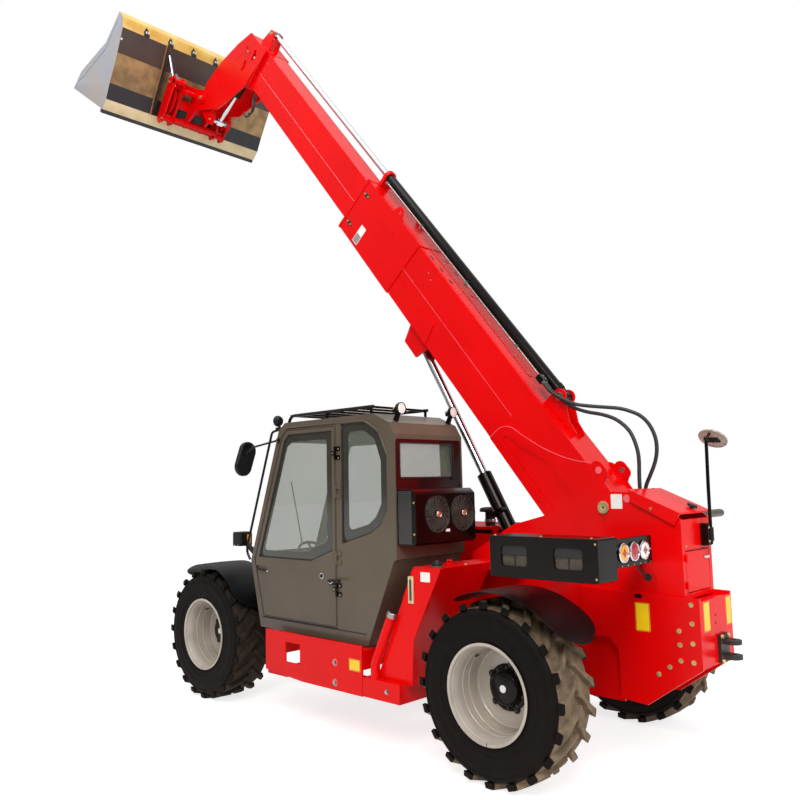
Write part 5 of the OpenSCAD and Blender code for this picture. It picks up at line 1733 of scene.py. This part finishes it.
    def under(self) -> None:
        """Dresses the frame and the axles, with the bolts of the differentials and of the lift pin."""
        bolts = []
        for x in (0.0, WHEELBASE):
            for i in range(10):
                turn = math.tau * i / 10
                bolts.append(bolt((x + 128 * math.cos(turn), 160, TYRE_R + 128 * math.sin(turn)), (0, 1, 0),
                                  20, STEEL))
            bolts.append(rod((x, 0, TYRE_R + 140), (x, 0, TYRE_R + 165), 34, BLACK_CAST, 5, 28))
        dressed("axles", "axle_beams", BLACK_CAST, 6, mirrored(bolts))
        keeper = [bolt((180 + dx, 205, 830), (0, 1, 0), 16, ZINC)
                  for dx in (-58, 58)] + [block((108, 204, 815), (252, 208, 845), RED, 2)]
        dressed("main_frame", "main_frame_plates", RED, 3, mirrored(keeper),
                [(STEEL, lambda c: abs(c.y) > 204.9 and math.hypot(c.x - 180, c.z - 830) < 41)])

    def build(self) -> None:
        """Builds the chassis."""
        self.tower()
        self.weight()
        self.rear()
        self.tank_side()
        self.engine_side()
        self.under()


# ---------- boom ----------
@dataclass
class Boom:
    """Outer and inner boom, head and cylinders, with welds, bolts, pipes and fittings."""

    half: float = 165.0
    curve: tuple[Point2, ...] = ((1074, -390), (1068, -340), (1050, -300), (1020, -264), (975, -238),
                                 (900, -215), (803, -182), (731, -155),
                                 (660, -125), (590, -88), (530, -55), (479, -24), (430, 12), (395, 40),
                                 (360, 75), (330, 95))

    def outer(self) -> None:
        """Dresses the outer boom: weld beads, brass-bolted wear pads, blank label, seams, pins."""
        face = self.half
        doubler = [(1068, -459.5), *self.curve, (150, 95), (80, 75), (80, -459.5)]
        recess = [(978, -378), (988, -355), (975, -325), (940, -306), (880, -294), (820, -280), (740, -248),
                  (655, -212), (600, -185),
                  (560, -172), (317, -172), (174, -169), (150, -200), (150, -362), (551, -374), (816, -370)]
        cheek = cut(plate(doubler, face - 2, face + 12.4, RED, 0),
                    plate(recess, face - 9, face + 20, RED, 0))
        clevis = [(610, 72), (985, 72), (985, 190), (865, 205), (720, 128), (610, 112)]
        lug = [(3240, 80), (3290, 150), (3312, 170), (3345, 176), (3375, 165), (3392, 140), (3425, 80)]
        # the pale pink of the weld beads and of the ear disc below is a painted highlight
        one = [tube([(1070, face + 12, -459), *((u, face + 12, v) for u, v in self.curve)], 2.4, PINK_HIGHLIGHT),
               eased(cheek, 2.2, 2, 40),
               slot_shape([(215, 119), (268, 119)], 50, face - 4, face + 12.6, RED, 3),
               block((400, face - 1, 52), (2905, face + 3, 60), RED, 1),
               block((1060, face - 1, -194), (2905, face + 1.6, -188), RED, 0.6),
               plate(clevis, 52, 70, RED, 3), rod((925, 51.6, 190), (925, 70.4, 190), 60, RED, 3, 40),
               cut(plate(rounded(lug, 8, 3), face - 4, face + 8, RED, 2.5),
                   rod((3334, face - 20, 126), (3334, face + 20, 126), 18, RED, 0, 28)),
               slot_shape([(3270, -55), (3480, -55)], 24, face + 7, face + 11, RED, 2),
               slot_shape([(3190, -320), (3480, -320)], 24, face + 7, face + 11, RED, 2),
               *(slot_shape([(3795, v), (3850, v)], 18, face + 7, face + 12, BLACK_CAST, 1.5)
                 for v in (-33, -358)),
               *(slot_shape([(u - 20, 100), (u + 20, 100)], 11, 74.4, 75.6, SEAL, 0, "Z")
                 for u in (2422, 2587, 2757)),
               tube([(1068, face + 1.4, -191), (2902, face + 1.4, -191)], 1.6, PINK_HIGHLIGHT),
               tube([(2811, face + 2, -268), (2902, face + 2, -268)], 3, RED),
               rod((243, face + 11, 119), (243, face + 16, 119), 25, PINK_HIGHLIGHT, 1.5, 32),
               rod((2629, face, -16), (2629, face + 3, -16), 6, ZINC, 0.8, 12),
               rod((2563, face, -38), (2563, face + 3, -38), 6, ZINC, 0.8, 12),
               tube([(2905, face - 5, 76), (2935, face - 90, 76), (2950, 60, 76)], 2.4, RED, 20),
               tube([(2235, face - 5, 76), (2265, face - 90, 76), (2275, 60, 76)], 2.4, RED, 20)]
        for v in (-33, -358):
            one += [bolt((u, face + 12, v), (0, 1, 0), 15, ZINC) for u in (3795, 3850)]
        extra = mirrored(one)
        for side in (1, -1):
            film = label((3572, -445), (3660, -260), side * 173, side, LABEL_WHITE)
            film.append(plate(rounded([(3577, -440), (3655, -440), (3655, -352), (3577, -352)], 3, 2), side
                              * 173.4, side * 174.2, BUCKET_GREY, 0))
            extra += film
        extra.append(block((1260, -24, 74), (3840, 24, 79), RED, 1.5))
        extra += [bolt((1300 + 200 * i, 0, 79), (0, 0, 1), 11, ZINC) for i in range(13)]
        extra += [rod((925, -72, 190), (925, 72, 190), 32, STEEL, 3),
                  bolt((925, 72, 190), (0, 1, 0), 20, ZINC),
                  rod((243, -183, 119), (243, -160, 119), 22, STEEL, 2)]
        extra.append(lathe([(49, 0), (66, 0), (66, 40), (49, 40)], (3862, 0, 190), (1, 0, 0), RED, 40))
        over = [(360, 75), *reversed(self.curve[:-1]), (1110, -459), (1110, 140), (360, 140)]
        tools = mirrored([plate(over, face, face + 30, RED, 0), plate(recess, face + 4, face + 30, RED, 0),
                          block((600, 50, 76), (1000, 76, 262), RED, 0)])
        dressed("boom_outer", "boom_outer_shell", RED, 2.2, brought(extra, BOOM_HERE),
                cuts=brought(tools, BOOM_HERE))

    def extension(self) -> None:
        """Dresses the extension cylinder: barrel, steel pipe, port block with hexagon fittings, rod."""
        extra = [lathe([(0, 0), (20, 0), (20, 3), (15, 4), (15, 16), (0, 16)], (1080, y, 181), (-1, 0, 0),
                       STEEL, 6) for y in (125, 92)]
        extra += [block((u, 42, 154), (u + 26, 78, 182), STEEL, 2) for u in (1500, 2300, 3100, 3780)]
        extra.append(rod((1140, 66, 168), (3800, 66, 168), 9, STEEL, 1, 20))
        extra.append(lathe([(47.5, 0), (52, 0), (54, 3), (54, 45), (52, 48), (47.5, 48)], (987, 0, 190),
                           (1, 0, 0), BLACK_GLOSS, 40))
        extra.append(lathe([(44, 0), (52, 0), (52, 11), (49, 14), (44, 14)], (3906, 0, 190), (1, 0, 0),
                           STEEL, 40))
        extra += [rod((1095 + 28 * i, 108, 204), (1095 + 28 * i, 108, 210), 9, STEEL, 1, 6)
                  for i in range(2)]
        dressed("extend_barrel", "extension_barrel", BLACK_GLOSS, 1.5, brought(extra, BOOM_HERE))
        dressed("extend_rod", "extension_rod", CHROME, 1.2, (), [(STEEL, seen_from(BOOM_HERE, lambda c: c.x > 6690))])

    def inner(self) -> None:
        """Dresses the inner boom with its long weld, and the head with its flange, pins and hose loop."""
        # the long weld is pale pink: painted highlight
        weld = mirrored([tube([(2640, 130.5, -203), (6516, 130.5, -203)], 2.2, PINK_HIGHLIGHT),
                         rod((6435, 130, -49), (6435, 133, -49), 7, ZINC, 1, 12)])
        dressed("boom_inner", "boom_inner_shell", RED, 7, brought(weld, BOOM_HERE))
        one = [tube([(6522, 165.5, -436), (6522, 165.5, 40)], 4, RED),
               bolt((*HEAD_PIN[:1], 190, HEAD_PIN[1]), (0, 1, 0), 34, ZINC),
               tube([(6760, 165, 20), (7010, 165, -330)], 2, RED),
               bolt((6820, 174, -130), (0, 1, 0), 20, ZINC)]
        head = mirrored(one) + [tube([(6406, 100, -394), (6405, 100, -474), (6340, 100, -540),
                                      (6300, 100, -610), (6322, 100, -672),
                                      (6372, 100, -706), (6440, 100, -694)], 11, HOSE, 40),
                                tube([(6408, 70, -394), (6406, 70, -476), (6352, 70, -536),
                                      (6330, 70, -596), (6344, 70, -640), (6400, 70, -668)], 9, HOSE, 40),
                                bolt((6738, 68, 190), (0, 1, 0), 24, ZINC),
                                bolt((6738, -68, 190), (0, -1, 0), 24, ZINC)]
        slots = [rod((6520 + u, 150, v), (6520 + u, 200, v), 27, RED, 0, 24)
                 for u, v in ((187, -72), (173, -92), (166, -110), (166, -130), (174, -150), (280, -258),
                              (264, -278), (256, -298), (258, -314), (266, -332))]
        slots.append(rod((6894, 150, -111), (6894, 200, -111), 18, RED, 0, 24))
        dressed("boom_head", "boom_head_cheeks", RED, 2.5, brought(head, BOOM_HERE),
                cuts=brought(mirrored(slots), BOOM_HERE))

    def cylinders(self) -> None:
        """Dresses the lift and tilt cylinders: glands, pipes, clamps, chromed rods."""
        lift = [lathe([(36, 0), (58, 0), (58, 6), (52, 9), (36, 9)], (1346, 0, 0), (1, 0, 0), STEEL, 40),
                tube([(150, 62, 22), (170, 76, 24), (1180, 76, 24), (1210, 60, 22)], 8, BLACK_GLOSS, 30)]
        lift += [cut(block((u, 0, -66), (u + 30, 84, 66), BLACK_GLOSS, 4),
                     rod((u - 9, 0, 0), (u + 39, 0, 0), 60, BLACK_GLOSS, 0, 48))
                 for u in (420, 980)]
        dressed("lift_barrel", "lift_barrel_tube", BLACK_GLOSS, 3, brought(lift, LIFT_HERE))
        dressed("lift_rod", "lift_rod_chromed", CHROME, 2, (), [(BLACK_CAST,
                                                                 lambda c: math.hypot(c.x - 1487, c.z - 3197) < 60 and abs(c.y) < 51)])
        tilt = [lathe([(28, 0), (49, 0), (49, 6), (44, 9), (28, 9)], (580, 0, 0), (1, 0, 0), STEEL, 36),
                cut(block((300, -54, -54), (560, 54, 54), ABS, 14, 3),
                    rod((290, 0, 0), (570, 0, 0), 49, ABS, 0, 48))]
        dressed("tilt_barrel", "tilt_barrel_cover", BLACK_GLOSS, 3, brought(tilt, TILT_HERE))
        dressed("tilt_rod", "tilt_rod_chromed", CHROME, 2)

    def build(self) -> None:
        """Builds the boom."""
        self.outer()
        self.extension()
        self.inner()
        self.cylinders()


# ---------- bucket ----------
@dataclass
class Tool:
    """The coupler and the bucket with its banded back."""

    half: float = 1117.0
    edge: tuple[Point2, ...] = ((1023, 0), (0, 0), (-25, 135), (0, 327), (25, 690), (75, 980), (160, 1090),
                                (284, 1127))

    def on_band(self, index: int) -> Test:
        """Tests whether a face's centre lies on one flat of the bucket's back."""
        (x0, z0), (x1, z1) = self.edge[index], self.edge[index + 1]
        length = math.hypot(x1 - x0, z1 - z0)

        def test(c: Vector) -> bool:
            """Measures along and off the flat."""
            along = ((c.x - x0) * (x1 - x0) + (c.z - z0) * (z1 - z0)) / length
            off = abs((c.x - x0) * (z1 - z0) - (c.z - z0) * (x1 - x0)) / length
            return off < 2.6 and -3 < along < length + 3 and abs(c.y) < self.half - 15

        return test

    def coupler(self) -> None:
        """Dresses the coupler: cross tubes, outer plates, pins with keepers, and the bright locking lever."""
        side = [rod((-205, 300, 640), (-205, 453, 640), 30, RED, 3),
                rod((-190, 300, 160), (-190, 453, 160), 28, RED, 3),
                rod((-120, 453, 600), (-120, 466, 600), 34, RED, 3),
                bolt((-120, 466, 600), (0, 1, 0), 22, ZINC),
                bolt((-190, 453, 160), (0, 1, 0), 20, ZINC), rod((-470, 135, 588), (-470, 143, 588), 60,
                                                                 RED, 3),
                rod((-751, 84, 407), (-751, 104, 407), 36, STEEL, 3),
                bolt((-751, 136, 407), (0, 1, 0), 22, ZINC),
                plate(rounded([(-165, 560), (-240, 470), (-230, 300), (-170, 220), (-120, 240),
                               (-120, 560)], 20, 4), 372, 386, RED, 2)]
        parts = mirrored(side) + [rod((-235, -300, 560), (-235, 300, 560), 34, RED, 3),
                                  rod((-215, -300, 190), (-215, 300, 190), 30, RED, 3),
                                  block((-160, -300, 330), (-130, 300, 450), RED, 5)]
        parts = brought(parts, BUCKET_HERE)
        x = 5200
        lever = [rod((x, 492, 7325), (x, 425, 6989), 17, CHROME, 4, 24), ball((x, 430, 7010), 24, RED),
                 rod((x, 425, 6989), (x + 34, 372, 6972), 13, CHROME, 2, 20)]
        dressed("coupler", "coupler_frame", RED, 3, parts + lever)

    def bucket(self) -> None:
        """Paints the back in bands of painted reflection, the end plates blue-grey with a painted sky reflection and
        their groove with painted shade, and adds the weld beads.
        """
        here = BUCKET_HERE
        bands = [BACK_NAVY, BACK_CREAM, BACK_NAVY, BACK_TAN, BACK_BROWN, BACK_STRAW, BACK_STRAW]
        tests = [(finish, seen_from(here, self.on_band(i))) for i, finish in enumerate(bands)]
        # the faces of the groove along each end plate get the dark seal finish: painted shade in the groove
        tests.append((SEAL, seen_from(here, lambda c: 1112.5 < abs(c.y) < 1116.6 and 100 < c.z < 1060
                                      and c.x > 240)))
        dots = [rod((75 + dx, y + t, 980 + dz), (75 + dx - 14, y + t, 980 + dz + 20), 8, LABEL_WHITE, 1.5,
                    16)
                for y in (-810, -486, -162, 162, 486, 810) for t, dx, dz in ((-14, 10, 38), (14, 10, 38))]
        wrap = [(78, 978), (163, 1086), (242, 1110), (239, 1124), (154, 1099), (67, 986)]
        tip = plate([(-12, -36), (-12, 36), (52, 34), (112, 0), (52, -34)], -12, 78, BACK_NAVY, 0, "Z")
        tip.data.transform(Matrix.Translation((75, 0, 980)) @ Matrix.Rotation(math.radians(-35), 4, "Y"))
        pointed = plate(wrap, -40, 40, BACK_NAVY, 0)
        modify(pointed, "BOOLEAN", object=tip, operation="INTERSECT", solver="EXACT")
        bpy.data.objects.remove(tip)
        eased(pointed, 1.5, 2, 30)
        dots += [copied(pointed, moved_to(0, y, 0)) for y in (-810, -486, -162, 162, 486, 810)]
        bpy.data.objects.remove(pointed)
        gusset = [(70, 975), (20, 900), (-60, 660), (-78, 480), (-70, 300), (-30, 140), (-18, 140),
                  (7, 327), (32, 690), (82, 972)]
        dots += mirrored([plate(gusset, 512, 528, BACK_NAVY, 2)])
        dots.append(block((2, -1112, -46), (60, 1112, 2), BACK_NAVY, 3))
        groove = [(932, 118), (820, 210), (380, 660), (260, 1040), (254, 1038), (374, 656), (815, 205),
                  (928, 112)]
        tools = mirrored([plate(groove, 1113, 1125, SEAL, 0), rod((60, 1087, 850), (60, 1125, 850), 14,
                                                                  SEAL, 0, 24)])
        beads = [tube([(x0 - 3, s * 533, z0), (x1 - 3, s * 533, z1)], 11, RUST) for s in (1, -1)
                 for (x0, z0), (x1, z1) in zip(self.edge[2:5], self.edge[3:6])]
        lip = [block((960, -1116, -1.5), (1022.8, 1116, 15), STEEL, 2)]
        dressed("bucket", "bucket_shell", BUCKET_GREY, 1.6, brought(dots + beads + lip, here), tests,
                brought(tools, here))

    def build(self) -> None:
        """Builds the coupler and the bucket."""
        self.coupler()
        self.bucket()


@dataclass
class PlainNodes:
    """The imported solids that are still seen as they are: each keeps its mesh under a new finish."""

    finishes: dict[str, Finish] = field(default_factory=lambda: {
        "red_paint": RED, "cab_paint": TAUPE, "black_paint": BLACK_GLOSS, "black_plastic": ABS,
        "engine_iron": IRON,
        "stub_grey": STUB, "chrome_rod": CHROME, "bucket_steel": BUCKET_GREY, "lens": LENS_AMBER,
        "window_glass": GLASS,
        "seat_fabric": VINYL, "hose_rubber": HOSE, "rim_paint": RIM, "tyre_rubber": SIDEWALL})

    def build(self) -> None:
        """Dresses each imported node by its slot."""
        for row in frame["record"]["subparts"]:
            obj = frame["nodes"][row["node"]]
            if not obj.hide_render:
                painted(obj, self.finishes[row["material_slot"]])


def main() -> None:
    """Builds the scene in order."""
    logging.basicConfig(level=logging.INFO, format="%(name)s: %(message)s")
    Studio().build()
    Hoses().build()
    Wheels().build()
    Cab().build()
    CabInterior().build()
    CabFittings().build()
    SideBox().build()
    Chassis().build()
    Boom().build()
    Tool().build()
    PlainNodes().build()


if __name__ == "__main__":
    main()
